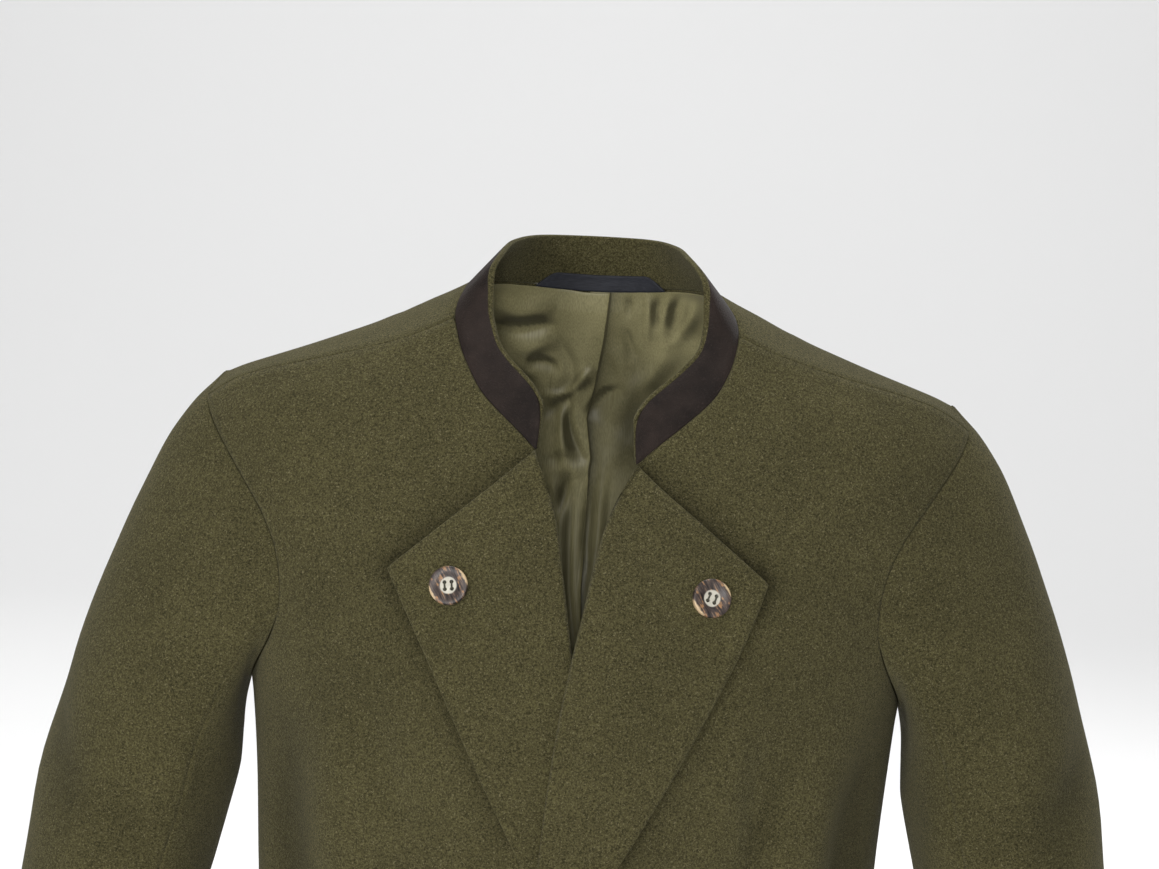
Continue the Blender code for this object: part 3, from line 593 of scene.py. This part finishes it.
# painted shade in the bottom of a fold: how much for each mm of depth, and at most
VALLEY_SHADE_PER_MM, VALLEY_SHADE_MOST = 0.085, 0.45
FOLD_ENDS, FOLD_WAVE, FOLD_WAVES = 0.75, 0.35, 4.1
SHOULDER, SHOULDER_AWAY, SHOULDER_WIDTH = 0.35, 1.9, 1.3
print(len(BODY_FOLDS), "folds on the body")


def fold_depth(rows, mm_per_degree, turn, height):
    """How far all the folds of a table move a point, in metres."""
    total = 0.0
    for turn_1, height_1, turn_2, height_2, width, depth in rows:
        across, up = (turn - turn_1) * mm_per_degree, height - height_1
        run, rise = (turn_2 - turn_1) * mm_per_degree, height_2 - height_1
        share = (across * run + up * rise) / (run * run + rise * rise)
        if not -0.25 < share < 1.25:
            continue
        sideways = (across * rise - up * run) / math.hypot(run, rise)
        sideways += width * FOLD_WAVE * math.sin(share * FOLD_WAVES + depth)
        fade = math.cos(min(abs(share - 0.5) / FOLD_ENDS, 1) * math.pi / 2) ** 2
        shoulder = SHOULDER * bell(sideways - SHOULDER_AWAY * width, SHOULDER_WIDTH * width)
        total += depth * fade * (bell(sideways, width) - shoulder)
    return total * MM


# %% [markdown]
# A point of the body moves straight away from the jacket's centre line, or back
# towards it. The front edge stays flat, where the closing keeps it so. From the
# chest down a broad, weak noise keeps the cloth from looking pressed.

# %% Folds of the body
BODY_STRENGTH, BODY_MM_PER_DEGREE = 1.9, 2.9
# the folds start 14 degrees from the centre front and are full 16 degrees further on
FLAT_FRONT, FOLDS_EASE = 14, 16
SOFT_SIZE, SOFT_HEIGHT = 9.0, 0.9


def paint_fold_shade(painted_shade, index, move):
    """Paints shade at a point that a fold has pushed in: the deeper, the darker, up to a limit."""
    painted_shade.data[index].value = clamp(-move / MM * VALLEY_SHADE_PER_MM, 0, VALLEY_SHADE_MOST)


def fold_body(piece):
    """Presses the body's folds into a piece, away from the jacket's centre line, and paints shade in them."""
    painted_shade = piece.data.attributes.new("painted_shade", "FLOAT", "POINT")
    for vertex in piece.data.vertices:
        x, y, z = vertex.co
        turn = math.degrees(math.atan2(x, -y))
        reach = math.hypot(x, y)
        move = BODY_STRENGTH * fold_depth(BODY_FOLDS, BODY_MM_PER_DEGREE, turn, z / MM)
        ease = clamp((abs(turn) - FLAT_FRONT) / FOLDS_EASE)
        soft = noise.noise(Vector((x, y, z)) * SOFT_SIZE) * SOFT_HEIGHT * MM * clamp((-z - 0.1) / 0.1)
        vertex.co.x += x / reach * (move + soft) * ease
        vertex.co.y += y / reach * (move + soft) * ease
        paint_fold_shade(painted_shade, vertex.index, move * ease)


# %% [markdown]
# The turned-back corners press the front under them, so beside their upper edge
# the front dips, while the corner's own edge stays full and round. Both are
# moves along -Y near one line. The shade that the corner's edges throw on the
# front beside them is painted into its colour. Rays tell which points belong to
# the corner: a ray that runs inwards from there also crosses the front below.

# %% Relief at the turned-back corners
# side, x and height of the upper edge at the collar and at the corner, then at
# the lower edge's far end, in mm
CORNER_EDGES = (
    (1, (29, -97), (110, -160), (30, -325)),
    (-1, (29, -93), (113, -161), (33, -318)),
)
# how far a point moves, and over how many mm beside the edge
CORNER_ROLL, ROLL_WIDTH = 2.0 * MM, 7
CORNER_DIP, DIP_WIDTH = 2.4 * MM, 12
# how dark the painted shade on the front is right at the edge, and over how many mm it fades
UPPER_SHADE, UPPER_FADE = 0.95, 7.5
LOWER_SHADE, LOWER_FADE = 0.7, 5.0
NEAR_LOW, NEAR_HIGH = -30, 60  # mm beside an edge where points are looked at
INWARDS, RAY_STEP, RAY_REACH = Vector((0, 1, 0)), 0.00004, 0.02


def from_line(x, height, start, end):
    """The share along a line and the distance to its left, in mm."""
    run, rise = end[0] - start[0], end[1] - start[1]
    share = ((x - start[0]) * run + (height - start[1]) * rise) / (run * run + rise * rise)
    return share, (run * (height - start[1]) - rise * (x - start[0])) / math.hypot(run, rise)


def faces_behind(tree, point):
    """How many faces a ray crosses that runs inwards from a point, up to 3."""
    crossed, start = 0, point + INWARDS * RAY_STEP
    while crossed < 3:
        hit = tree.ray_cast(start, INWARDS, RAY_REACH)
        if hit[0] is None:
            break
        crossed += 1
        start = hit[0] + INWARDS * RAY_STEP
    return crossed


# %% Shaping a corner
def shape_corner(piece, side, top, corner, bottom):
    """Rounds the edge of a turned-back corner, dips the front beside it and paints shade on it there."""
    tree = BVHTree.FromPolygons(
        [vertex.co for vertex in piece.data.vertices], [face.vertices for face in piece.data.polygons],
    )
    painted_shade = piece.data.attributes["painted_shade"]
    moved = 0
    for vertex in piece.data.vertices:
        x, height = vertex.co.x / MM * side, vertex.co.z / MM
        share, above = from_line(x, height, top, corner)
        share_2, outside = from_line(x, height, corner, bottom)
        near_upper = -0.15 < share < 1.25 and NEAR_LOW < above < NEAR_HIGH
        near_lower = -0.15 < share_2 < 1.0 and NEAR_LOW < outside < NEAR_HIGH
        if vertex.co.y > 0 or not (near_upper or near_lower):
            continue
        upper = clamp((share + 0.02) / 0.12) * clamp((1.06 - share) / 0.08)
        lower = clamp((share_2 + 0.05) / 0.08) * clamp((0.95 - share_2) / 0.4)
        if faces_behind(tree, vertex.co) >= 2:
            roll = bell(above + 2, ROLL_WIDTH) * upper + bell(outside + 2, ROLL_WIDTH) * lower
            vertex.co.y -= CORNER_ROLL * min(roll, 1)
        else:
            dip = bell(above - 4, DIP_WIDTH) * upper
            vertex.co.y += CORNER_DIP * dip
            # painted shade that the corner's upper and lower edge throw on the front
            away = max(above, 0) if share < 1 else math.hypot(max(above, 0), (share - 1) * 100)
            shade = UPPER_SHADE * math.exp(-away / UPPER_FADE) * clamp((share + 0.06) / 0.08) * (share < 1.12)
            shade_2 = LOWER_SHADE * math.exp(-max(outside, 0) / LOWER_FADE) * (-0.04 < share_2 < 1)
            painted_shade.data[vertex.index].value = min(max(shade, shade_2), 1)
        moved += 1
    print(piece.name, "relief moved", moved, "points")


# %% [markdown]
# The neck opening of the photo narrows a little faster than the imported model's,
# and its two edges meet just above the lower border. So each edge is drawn
# sideways by a few millimetres, and the cloth beside it follows less and less.

# %% Edges of the neck opening
# height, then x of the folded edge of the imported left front, in mm
ROLL_EDGE = (
    (-92, 29.5), (-99, 25), (-112, 21), (-135, 16.3), (-155, 11.8), (-182, 7),
    (-205, 3), (-240, -3), (-280, -9), (-325, -14), (-375, -18), (-420, -20),
)
# height, then how far that edge moves along x, in mm
EDGE_MOVES = {
    "front_left": (
        (-95, 0), (-105, -2), (-117, -4.2), (-130, -4.9), (-150, -5), (-180, -5.3), (-205, -6), (-240, -6),
        (-300, -4), (-360, -1.5), (-420, 0),
    ),
    "front_right": (
        (-95, 0), (-105, 1.2), (-117, 2.4), (-130, 2.2), (-150, 1.2), (-185, 0.8), (-205, 0.3), (-240, 0),
    ),
}
FOLLOWS = 30  # mm beside the edge over which the cloth follows


def read_table(rows, values):
    """Reads a table, whose first values fall, at the given values."""
    firsts, seconds = zip(*rows[::-1])
    return np.interp(values, firsts, seconds)


def draw_edge(piece, node):
    """Draws the folded edge of a front sideways, and the cloth beside it less and less."""
    side = 1 if node == "front_left" else -1
    for vertex in piece.data.vertices:
        x, y, height = vertex.co / MM
        if y < 0:
            near = bell(x - side * read_table(ROLL_EDGE, height), FOLLOWS)
            vertex.co.x += read_table(EDGE_MOVES[node], height) * near * MM


# %% [markdown]
# ## Fronts, back and lining
#
# The two fronts carry their turned-back corners with them. The lining gets the
# back's folds first, so that it stays inside, and then its own sharper ones.

# %% Fronts and back
PANELS = (
    # node, name, flat width and length, flat area
    ("front_left", "left front", (0.47, 0.75), 0.205),
    ("front_right", "right front", (0.47, 0.75), 0.205),
    ("back", "wool back", (0.62, 0.79), 0.368),
)

for node, name, flat, area in PANELS:
    piece = cloth_from(node, name.replace(" ", "_"), wool)
    fold_body(piece)
    for side, *edge in CORNER_EDGES:
        if node == ("front_left" if side > 0 else "front_right"):
            shape_corner(piece, side, *edge)
    if node in EDGE_MOVES:
        draw_edge(piece, node)
    print_area(piece)

# %% [markdown]
# The lining is cut wider than the back, so it stands off it a little and falls
# in creases of its own: short gathers at the neck seam, slanting ones from the
# pull of the neck, and long ones down the back. The part that shows is divided
# finer first. A crease is steep on one side and fades on the other, and the
# pleat's edge wanders, because only the neck seam holds it.

# %% Creases of the lining
LINING_FOLDS = (
    # x and height of both ends in mm, then width and height (towards the front) in mm
    (-60, -13, -30, -15, 4.5, 1.8),
    (-59, -22, -27, -24, 3.2, -2.6),
    (-38, -46, -21, -48, 2.4, -1.8),
    (-46, -38, -24, -37, 4.0, 1.3),
    (4, -53, -10, -64, 2.8, 2.4),
    (-7, -63, -26, -69, 3.0, 2.0),
    (-2, -64, -26, -78, 4.0, -2.2),
    (24, -2, 22, -15, 1.8, -1.0),
    (32, -1, 36, -29, 2.3, 1.4),
    (40, -2, 42, -20, 1.8, -1.0),
    (46, 0, 44, -31, 2.4, 1.5),
    (54, -1, 50, -19, 2.0, -1.2),
    (63, -3, 55, -28, 2.6, 1.5),
    (20, -24, 31, -40, 2.6, -1.2),
    (14, -40, 26, -58, 3.0, 1.1),
    (-52, -50, -34, -66, 3.4, -1.3),
    (-20, -30, -8, -58, 4.0, -1.0),
    (-12, -118, -16, -150, 2.2, -1.4),
    (2, -132, 5, -176, 1.8, -1.6),
    (50, -33, 19, -74, 6.0, 2.2),
    (60, -45, 30, -88, 5.0, -1.8),
    (42, -70, 20, -104, 5.0, 1.8),
    (5, -76, 20, -63, 3.4, -2.4),
    (-10, -74, -5, -106, 2.8, -2.4),
    (-17, -78, -12, -116, 3.4, 1.9),
    (-24, -111, -2, -107, 2.8, -0.8),
    (-24, -118, -4, -114, 3.2, 0.5),
    (-19, -130, -9, -215, 3.6, 2.0),
    (-9, -140, -3, -230, 2.8, -1.8),
    (11, -118, 7, -205, 3.0, 2.0),
    (17, -130, 12, -230, 3.4, -1.6),
    (-14, -220, -6, -330, 4.0, 1.8),
    (9, -215, 5, -330, 3.6, -1.8),
    (-46, -130, -60, -330, 8.0, 1.8),
    (44, -150, 62, -350, 8.0, -1.8),
    (-90, -120, -60, -220, 8.0, 1.8),
    (92, -110, 66, -230, 8.0, -1.8),
    (-30, -380, -36, -600, 9.0, 1.9),
    (36, -400, 42, -620, 9.0, -1.8),
    (90, -430, 96, -640, 10.0, 1.9),
    (-92, -410, -98, -640, 10.0, -1.8),
)
# height, then how far the pleat's edge has wandered in mm
PLEAT_WANDER = (
    (10, 0), (-30, -1.5), (-56, -3.7), (-82, -5.1), (-109, 2.4), (-152, 1.4), (-194, -1.8), (-260, 0),
)
# height, then where the pleat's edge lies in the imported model: x in mm
PLEAT_EDGE = ((5, 11), (-60, 7.5), (-115, 0), (-200, 3), (-400, 3), (-700, 2))
CREASE_LIFT, CREASE_FADE = 1.55, 2.1
CREASE_ENDS, CREASE_WAVE, CREASE_WAVES = 0.7, 0.5, 4.0
print(len(LINING_FOLDS), "creases in the lining")


def creases(x, height):
    """How far the creases lift each point off the lining, in mm; x and height are arrays."""
    total = np.zeros(len(x))
    for x_1, height_1, x_2, height_2, width, lift in LINING_FOLDS:
        run, rise = x_2 - x_1, height_2 - height_1
        share = ((x - x_1) * run + (height - height_1) * rise) / (run * run + rise * rise)
        sideways = ((x - x_1) * rise - (height - height_1) * run) / math.hypot(run, rise)
        sideways += width * CREASE_WAVE * np.sin(share * CREASE_WAVES + x_1)
        reach = np.where(sideways * lift > 0, width, CREASE_FADE * width)
        fade = np.cos(np.minimum(abs(share - 0.5) / CREASE_ENDS, 1) * math.pi / 2)
        total += lift * fade * bell(sideways, reach)
    return CREASE_LIFT * np.clip((2 - height) / 8, 0, 1) * total


# %% Lining, divided finer where it shows
SHOWN_WIDTH, SHOWN_FROM, SHOWN_DOWN_TO = 0.078, 0.02, -0.30

lining = cloth_from("lining_back", "back_lining", satin, rim=0.5)
for face in lining.data.polygons:
    x, y, z = face.center
    face.select = abs(x) < SHOWN_WIDTH and y > SHOWN_FROM and z > SHOWN_DOWN_TO
bpy.ops.object.mode_set(mode="EDIT")
bpy.ops.mesh.select_mode(type="FACE")
bpy.ops.mesh.subdivide(number_cuts=2)
bpy.ops.object.mode_set(mode="OBJECT")
bpy.ops.object.shade_smooth()
fold_body(lining)
points = np.array([vertex.co for vertex in lining.data.vertices]) / MM
x, y, height = points.T
behind = y > 20
print("lining", len(points), "points")

# %% [markdown]
# Shade is painted into the satin's colour. In the bottom of a crease little
# light gets between the layers, so the painted shade is found from the creases
# themselves: from how steep each point is, and how far it lies under its
# neighbours. Beside the pleat the satin gets painted shade too, most of all
# right at the fold and again close to the ends of the collar. The upper part,
# towards the neck, gets a little painted shade all over.

# %% Shade of the lining
NEIGHBOUR = 2  # mm
SIDE_SHADE, TOP_SHADE, HOLLOW_SHADE = 1.5, 1.2, 0.9
NECK_SHADE = 0.14
# shade right at the fold, how much more near the collar's ends, and mm over which it fades
FOLD_SHADE, FOLD_SHADE_MORE, FOLD_FADE = 0.5, 0.3, 3.6
PLEAT_SHADE, PLEAT_FADE = 0.42, 34
# shade under the collar's end, from how far past the pleat, and over how many mm it grows
COLLAR_SHADE, COLLAR_SHADE_FROM, COLLAR_SHADE_OVER = 0.6, 12, 9
COLLAR_END, COLLAR_REACH = -84, 36  # mm
MOST_SHADE = 0.95

folds = creases(x, height)
to_left, to_right = creases(x - NEIGHBOUR, height), creases(x + NEIGHBOUR, height)
above, below = creases(x, height + NEIGHBOUR), creases(x, height - NEIGHBOUR)
hollow = (to_left + to_right + above + below) / 4 - folds
# painted shade where a crease faces away from the lamp at the left or faces down, and in its hollows
shade = SIDE_SHADE * np.maximum(to_left - to_right, 0) / 4 + TOP_SHADE * np.maximum(above - below, 0) / 4
shade += HOLLOW_SHADE * np.maximum(hollow, 0)
# painted shade over the upper part, towards the neck
shade += NECK_SHADE * np.clip((height + 115) / 30, 0, 1)

# painted shadow beside the pleat's fold and under the ends of the collar
past_pleat = x - read_table(PLEAT_EDGE, height)
at_collar_end = bell(height - COLLAR_END, COLLAR_REACH)
at_fold = np.exp(-np.maximum(past_pleat, 0) / FOLD_FADE)
under_collar = np.clip((past_pleat - COLLAR_SHADE_FROM) / COLLAR_SHADE_OVER, 0, 1)
pleat_shade = (FOLD_SHADE + FOLD_SHADE_MORE * at_collar_end) * at_fold
pleat_shade += PLEAT_SHADE * bell(past_pleat, PLEAT_FADE)
pleat_shade += COLLAR_SHADE * at_collar_end * under_collar
pleat_shade[past_pleat < -0.3] = 0
painted_shade = np.clip(np.maximum(shade, pleat_shade), 0, MOST_SHADE) * behind
lining.data.attributes["painted_shade"].data.foreach_set("value", painted_shade.astype(np.float32))
print("shade of the lining, on average", round(float(painted_shade.mean()), 3))

# %% [markdown]
# Now the points move: forward by the ease and the creases, sideways where the
# pleat's edge wanders, and up a little at the neck seam, so that no gap shows
# under the inner collar. Near the side seams and at the neck the lining is sewn
# down, so there it has no ease.

# %% Shape of the lining
EASE, MOST_FORWARD = 2.2, 7.5  # mm
NECK_RISE = 1.5  # mm
WANDER_FROM, WANDER_REACH = 4, 16  # mm

ease = EASE * np.clip((-height - 1) / 12, 0, 1) * np.clip((110 - abs(x)) / 30, 0, 1)
at_neck = np.clip((height + 12) / 12, 0, 1) * np.clip((y - 30) / 20, 0, 1)
x_moved = x + read_table(PLEAT_WANDER, height) * bell(x - WANDER_FROM, WANDER_REACH) * behind
y_moved = y - np.clip(ease + folds, 0, MOST_FORWARD) * behind
height_moved = height + NECK_RISE * at_neck
moved = np.stack([x_moved, y_moved, height_moved], 1) * MM
lining.data.vertices.foreach_set("co", moved.astype(np.float32).ravel())
lining.data.update()
print_area(lining)

# %% [markdown]
# ## Sleeves
#
# A tailored sleeve has two pieces, a wide top one and a narrow under one. Their
# folds turn round the arm, deepest inside the elbow.

# %% Fold table of the sleeves
# height, then the middle of the left sleeve: x and y, all in mm
SLEEVE_MIDDLE = (
    (-130, 245, 3), (-292, 264, 4), (-345, 275, 3), (-405, 286, 0),
    (-480, 297, -9), (-560, 309, -25), (-650, 322, -45), (-700, 329, -56),
)
# turn round the arm from its outer side through the front, and height, twice,
# then width and depth
SLEEVE_FOLDS = (
    (60, -378, 150, -402, 11, -3.6),
    (75, -412, 160, -428, 10, 3.0),
    (95, -440, 190, -446, 12, -3.8),
    (40, -468, 140, -486, 13, 2.8),
    (170, -395, 250, -372, 13, -2.8),
    (190, -470, 262, -452, 12, -2.6),
    (20, -230, 70, -330, 18, -2.6),
    (120, -285, 150, -345, 14, 2.4),
    (-40, -250, -75, -350, 20, -2.4),
    (-60, -420, -20, -520, 20, 2.4),
    (100, -560, 170, -590, 14, -2.6),
    (150, -610, 240, -596, 14, 2.2),
    (0, -590, 40, -640, 16, -1.8),
)
SLEEVE_STRENGTH, SLEEVE_MM_PER_DEGREE = 2.1, 1.0
FOLDS_BELOW, FOLDS_GROW = 190, 90  # mm
print(len(SLEEVE_FOLDS), "folds on each sleeve")


def sleeve_middle(height):
    """Where the middle of the left sleeve is at a height: x and y in mm."""
    return [read_table([(row[0], row[k]) for row in SLEEVE_MIDDLE], height) for k in (1, 2)]


def fold_sleeve(piece, side, turn_shift):
    """Presses the folds into a sleeve, away from the middle of the arm, and paints shade in them."""
    painted_shade = piece.data.attributes.new("painted_shade", "FLOAT", "POINT")
    for vertex in piece.data.vertices:
        x, y, z = vertex.co.x / MM * side, vertex.co.y / MM, vertex.co.z / MM
        middle_x, middle_y = sleeve_middle(z)
        out_x, out_y = x - middle_x, y - middle_y
        reach = math.hypot(out_x, out_y)
        turn = math.degrees(math.atan2(-out_y, out_x))
        turns = [turn + turn_shift + whole for whole in (-360, 0, 360)]
        move = sum(fold_depth(SLEEVE_FOLDS, SLEEVE_MM_PER_DEGREE, each, z) for each in turns)
        move *= SLEEVE_STRENGTH * clamp((-z - FOLDS_BELOW) / FOLDS_GROW)
        vertex.co.x += side * out_x / reach * move
        vertex.co.y += out_y / reach * move
        paint_fold_shade(painted_shade, vertex.index, move)


# %% Sleeves
SLEEVES = ((1, "left", 0), (-1, "right", 14))  # side, word, and how far the folds are turned, in degrees
SLEEVE_PARTS = (("top", (0.29, 0.64), 0.137), ("under", (0.13, 0.52), 0.059))

for side, word, turn_shift in SLEEVES:
    for part, flat, area in SLEEVE_PARTS:
        node = f"sleeve_{word}_{part}"
        piece = cloth_from(node, f"{word}_{part}_sleeve", wool)
        fold_sleeve(piece, side, turn_shift)
        print_area(piece)

# %% [markdown]
# ## Collar
#
# The stand is two bands. The wool one inside is turned over the top of the
# leather one, which leaves a thin roll of wool all along the upper edge.

# %% Collar
COLLAR = (
    ("collar_inner", "inner_collar", wool, "wool", (0.52, 0.05), 0.0185),
    ("collar_outer", "leather_collar", leather, "collar_leather", (0.53, 0.034), 0.0166),
)
for node, name, finish, slot, flat, area in COLLAR:
    piece = cloth_from(node, name, finish, rim=0.6)
    print_area(piece)

# %% [markdown]
# ## Hanger loop
#
# The loop is a strip of tape whose two ends are sewn into the neck seam. It is
# held stretched, so it hardly folds. Its lower edge is drawn down and forward a
# little, to lie over the seam.

# %% Hanger loop
LOW_EDGE, LOW_GROW = 8.0 * MM, 6.0 * MM
LOOP_DOWN, LOOP_FORWARD = 2.2 * MM, 0.5 * MM

loop = cloth_from("hanger_loop", "hanger_loop_tape", tape, rim=0.9)
for vertex in loop.data.vertices:
    low = clamp((LOW_EDGE - vertex.co.z) / LOW_GROW)
    vertex.co.z -= LOOP_DOWN * low
    vertex.co.y -= LOOP_FORWARD * low
print_area(loop)

# %% [markdown]
# ## Buttons
#
# One button is turned like a real one: a disc whose rim is rounded, whose face
# is dished in steps, and which is drilled four times. It is copied to each
# place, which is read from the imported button: its middle, and the direction in
# which it is thinnest.

# %% Button
RADIUS, THICK = 11.5 * MM, 4.0 * MM
# how far each ring of the face lies inside the last one and how far it drops, in mm
FACE_STEPS = ((1.5, 0.0), (2.2, 0.0), (1.3, -0.9), (1.6, -0.25))
BACK_INSET, RIM_ROUND = 2.0 * MM, 0.9 * MM


def select_faces(thing, test):
    """Selects the faces of an object in edit mode by their middle and normal."""
    bpy.ops.object.mode_set(mode="OBJECT")
    for part in (thing.data.vertices, thing.data.edges, thing.data.polygons):
        part.foreach_set("select", [False] * len(part))
    for face in thing.data.polygons:
        face.select = test(face.center, face.normal)
    bpy.ops.object.mode_set(mode="EDIT")
    bpy.ops.mesh.select_mode(type="FACE")


deselect_all()
bpy.ops.mesh.primitive_cylinder_add(vertices=56, radius=RADIUS, depth=THICK, location=(0, 0, THICK / 2))
model = bpy.context.object
model.name = "button_model"
bpy.ops.object.transform_apply(location=True, rotation=True, scale=True)
select_faces(model, lambda middle, normal: normal.z > 0.9)
for inset, drop in FACE_STEPS:
    bpy.ops.mesh.inset(thickness=inset * MM, depth=0)
    bpy.ops.transform.translate(value=(0, 0, drop * MM))
select_faces(model, lambda middle, normal: normal.z < -0.9)
bpy.ops.mesh.inset(thickness=BACK_INSET, depth=0)
bpy.ops.object.mode_set(mode="OBJECT")
rim = model.modifiers.new("rounded", "BEVEL")
rim.width = RIM_ROUND
rim.segments = 4
rim.limit_method = "ANGLE"
rim.angle_limit = math.radians(35)
bpy.ops.object.modifier_apply(modifier="rounded")
print("button before drilling", len(model.data.polygons), "faces")

# %% Holes of the button
HOLE, HOLE_APART = 1.2 * MM, 4.2 * MM
DRILL_LONG, DRILL_AT = 12 * MM, 2 * MM

for x in (-0.5, 0.5):
    for y in (-0.5, 0.5):
        deselect_all()
        bpy.ops.mesh.primitive_cylinder_add(
            vertices=20, radius=HOLE, depth=DRILL_LONG, location=(x * HOLE_APART, y * HOLE_APART, DRILL_AT),
        )
        drill = bpy.context.object
        hole = model.modifiers.new("hole", "BOOLEAN")
        hole.operation = "DIFFERENCE"
        hole.object = drill
        select_only(model)
        bpy.ops.object.modifier_apply(modifier="hole")
        bpy.data.objects.remove(drill)
model.data.materials.clear()
model.data.materials.append(horn)
model.data.uv_layers.new(name="face")
bpy.ops.object.shade_smooth_by_angle(angle=math.radians(35))
print("button", len(model.data.polygons), "faces")

# %% [markdown]
# The thread makes two bars, each of a few strands that come up through one hole
# and go down through the next.

# %% Thread bars
# how far each strand lies beside the middle of its bar and above the others, in mm
STRANDS = ((-0.34, 0.0), (0.0, 0.18), (0.34, 0.0))
STRAND_RADIUS, STRAND_LONG = 0.23 * MM, 6.4 * MM
CUTS = (-2.6, -2.1, -1.5, 1.5, 2.1, 2.6)  # where a strand can bend, in mm
ARCH_TOP, ARCH_CURVE, BEND_AT, BEND_HEIGHT, DIVE = 3.35, 0.16, 2.0, 2.71, 1.9


def strand_height(reach, above):
    """The height of a strand over the button's back by the distance from its middle, in mm."""
    if reach < BEND_AT:
        return (ARCH_TOP + above) - ARCH_CURVE * reach**2
    return BEND_HEIGHT + above - DIVE * (reach - BEND_AT)


def add_strand(x, above):
    """One strand: a straight cylinder that is cut across and then bent over the button."""
    bpy.ops.mesh.primitive_cylinder_add(
        vertices=8, radius=STRAND_RADIUS, depth=STRAND_LONG, rotation=(math.pi / 2, 0, 0), location=(x, 0, 0),
    )
    strand = bpy.context.object
    bpy.ops.object.transform_apply(location=True, rotation=True, scale=True)
    bpy.ops.object.mode_set(mode="EDIT")
    for cut in (0, *CUTS):
        bpy.ops.mesh.select_all(action="SELECT")
        bpy.ops.mesh.bisect(plane_co=(0, cut * MM, 0), plane_no=(0, 1, 0))
    bpy.ops.object.mode_set(mode="OBJECT")
    for vertex in strand.data.vertices:
        vertex.co.z += strand_height(abs(vertex.co.y) / MM, above) * MM
    return strand


deselect_all()
bars = [add_strand(x * HOLE_APART + aside * MM, above) for x in (-0.5, 0.5) for aside, above in STRANDS]
select_only(bars[0])
for strand in bars:
    strand.select_set(True)
bpy.ops.object.join()
thread_model = bpy.context.object
thread_model.name = "thread_model"
thread_model.data.materials.clear()
thread_model.data.materials.append(thread)
bpy.ops.object.shade_smooth()
print("thread", len(thread_model.data.polygons), "faces")

# %% [markdown]
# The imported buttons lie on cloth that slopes, and each is turned its own way. Its
# axis is found by trying directions near the front and keeping the one in which
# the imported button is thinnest.

# %% Place of a button
# how far the button is turned, and how far the streaks are turned on it, in degrees
TWISTS = {
    "button_lapel_left": (-20, 180), "button_lapel_right": (8, 0),
    "button_closing_1": (12, 35), "button_closing_2": (-6, 150), "button_closing_3": (4, -60),
}
TILT_STEPS, TILT_STEP = 30, 0.02
EVERY = 7  # one point in seven is enough


def button_axis(points, middle):
    """The direction in which the points span least."""
    best, normal = 1e9, None
    for step_x in range(-TILT_STEPS, TILT_STEPS + 1):
        for step_z in range(-TILT_STEPS, TILT_STEPS + 1):
            way = Vector((step_x * TILT_STEP, -1, step_z * TILT_STEP)).normalized()
            reach = [way.dot(point - middle) for point in points[::EVERY]]
            if max(reach) - min(reach) < best:
                best, normal = max(reach) - min(reach), way
    return normal


def button_place(node):
    """The matrix that takes the button model to a packed button."""
    points = [vertex.co.copy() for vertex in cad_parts[node].data.vertices]
    low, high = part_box(node)
    middle = (low + high) / 2
    normal = button_axis(points, middle)
    back = min(normal.dot(point - middle) for point in points)
    across = Vector((0, 0, 1)).cross(normal).normalized()
    basis = Matrix((across, normal.cross(across), normal)).transposed().to_4x4()
    twist = Matrix.Rotation(math.radians(TWISTS[node][0]), 4, "Z")
    return Matrix.Translation(middle + normal * back) @ basis @ twist


# %% Buttons in their places
def map_face(mesh, angle):
    """Lays the face map on a button, turned so that no two show the same streaks."""
    layer = mesh.uv_layers["face"]
    turn = Matrix.Rotation(angle, 2)
    for corner in mesh.loops:
        point = turn @ (mesh.vertices[corner.vertex_index].co.xy / (2 * RADIUS))
        layer.data[corner.index].uv = point + Vector((0.5, 0.5))


for node in TWISTS:
    place = button_place(node)
    for source, name in ((model, "horn_" + node), (thread_model, "thread_" + node)):
        mesh = source.data.copy()
        if source is model:
            map_face(mesh, math.radians(sum(TWISTS[node])))
        mesh.transform(place)
        mesh.name = name
        piece = add_object(name, mesh)
        if source is model:
            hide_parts(node)
        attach(piece, "root")
    print(node, "at", [round(value, 3) for value in place.translation])
for spent in (model, thread_model):
    bpy.data.objects.remove(spent)
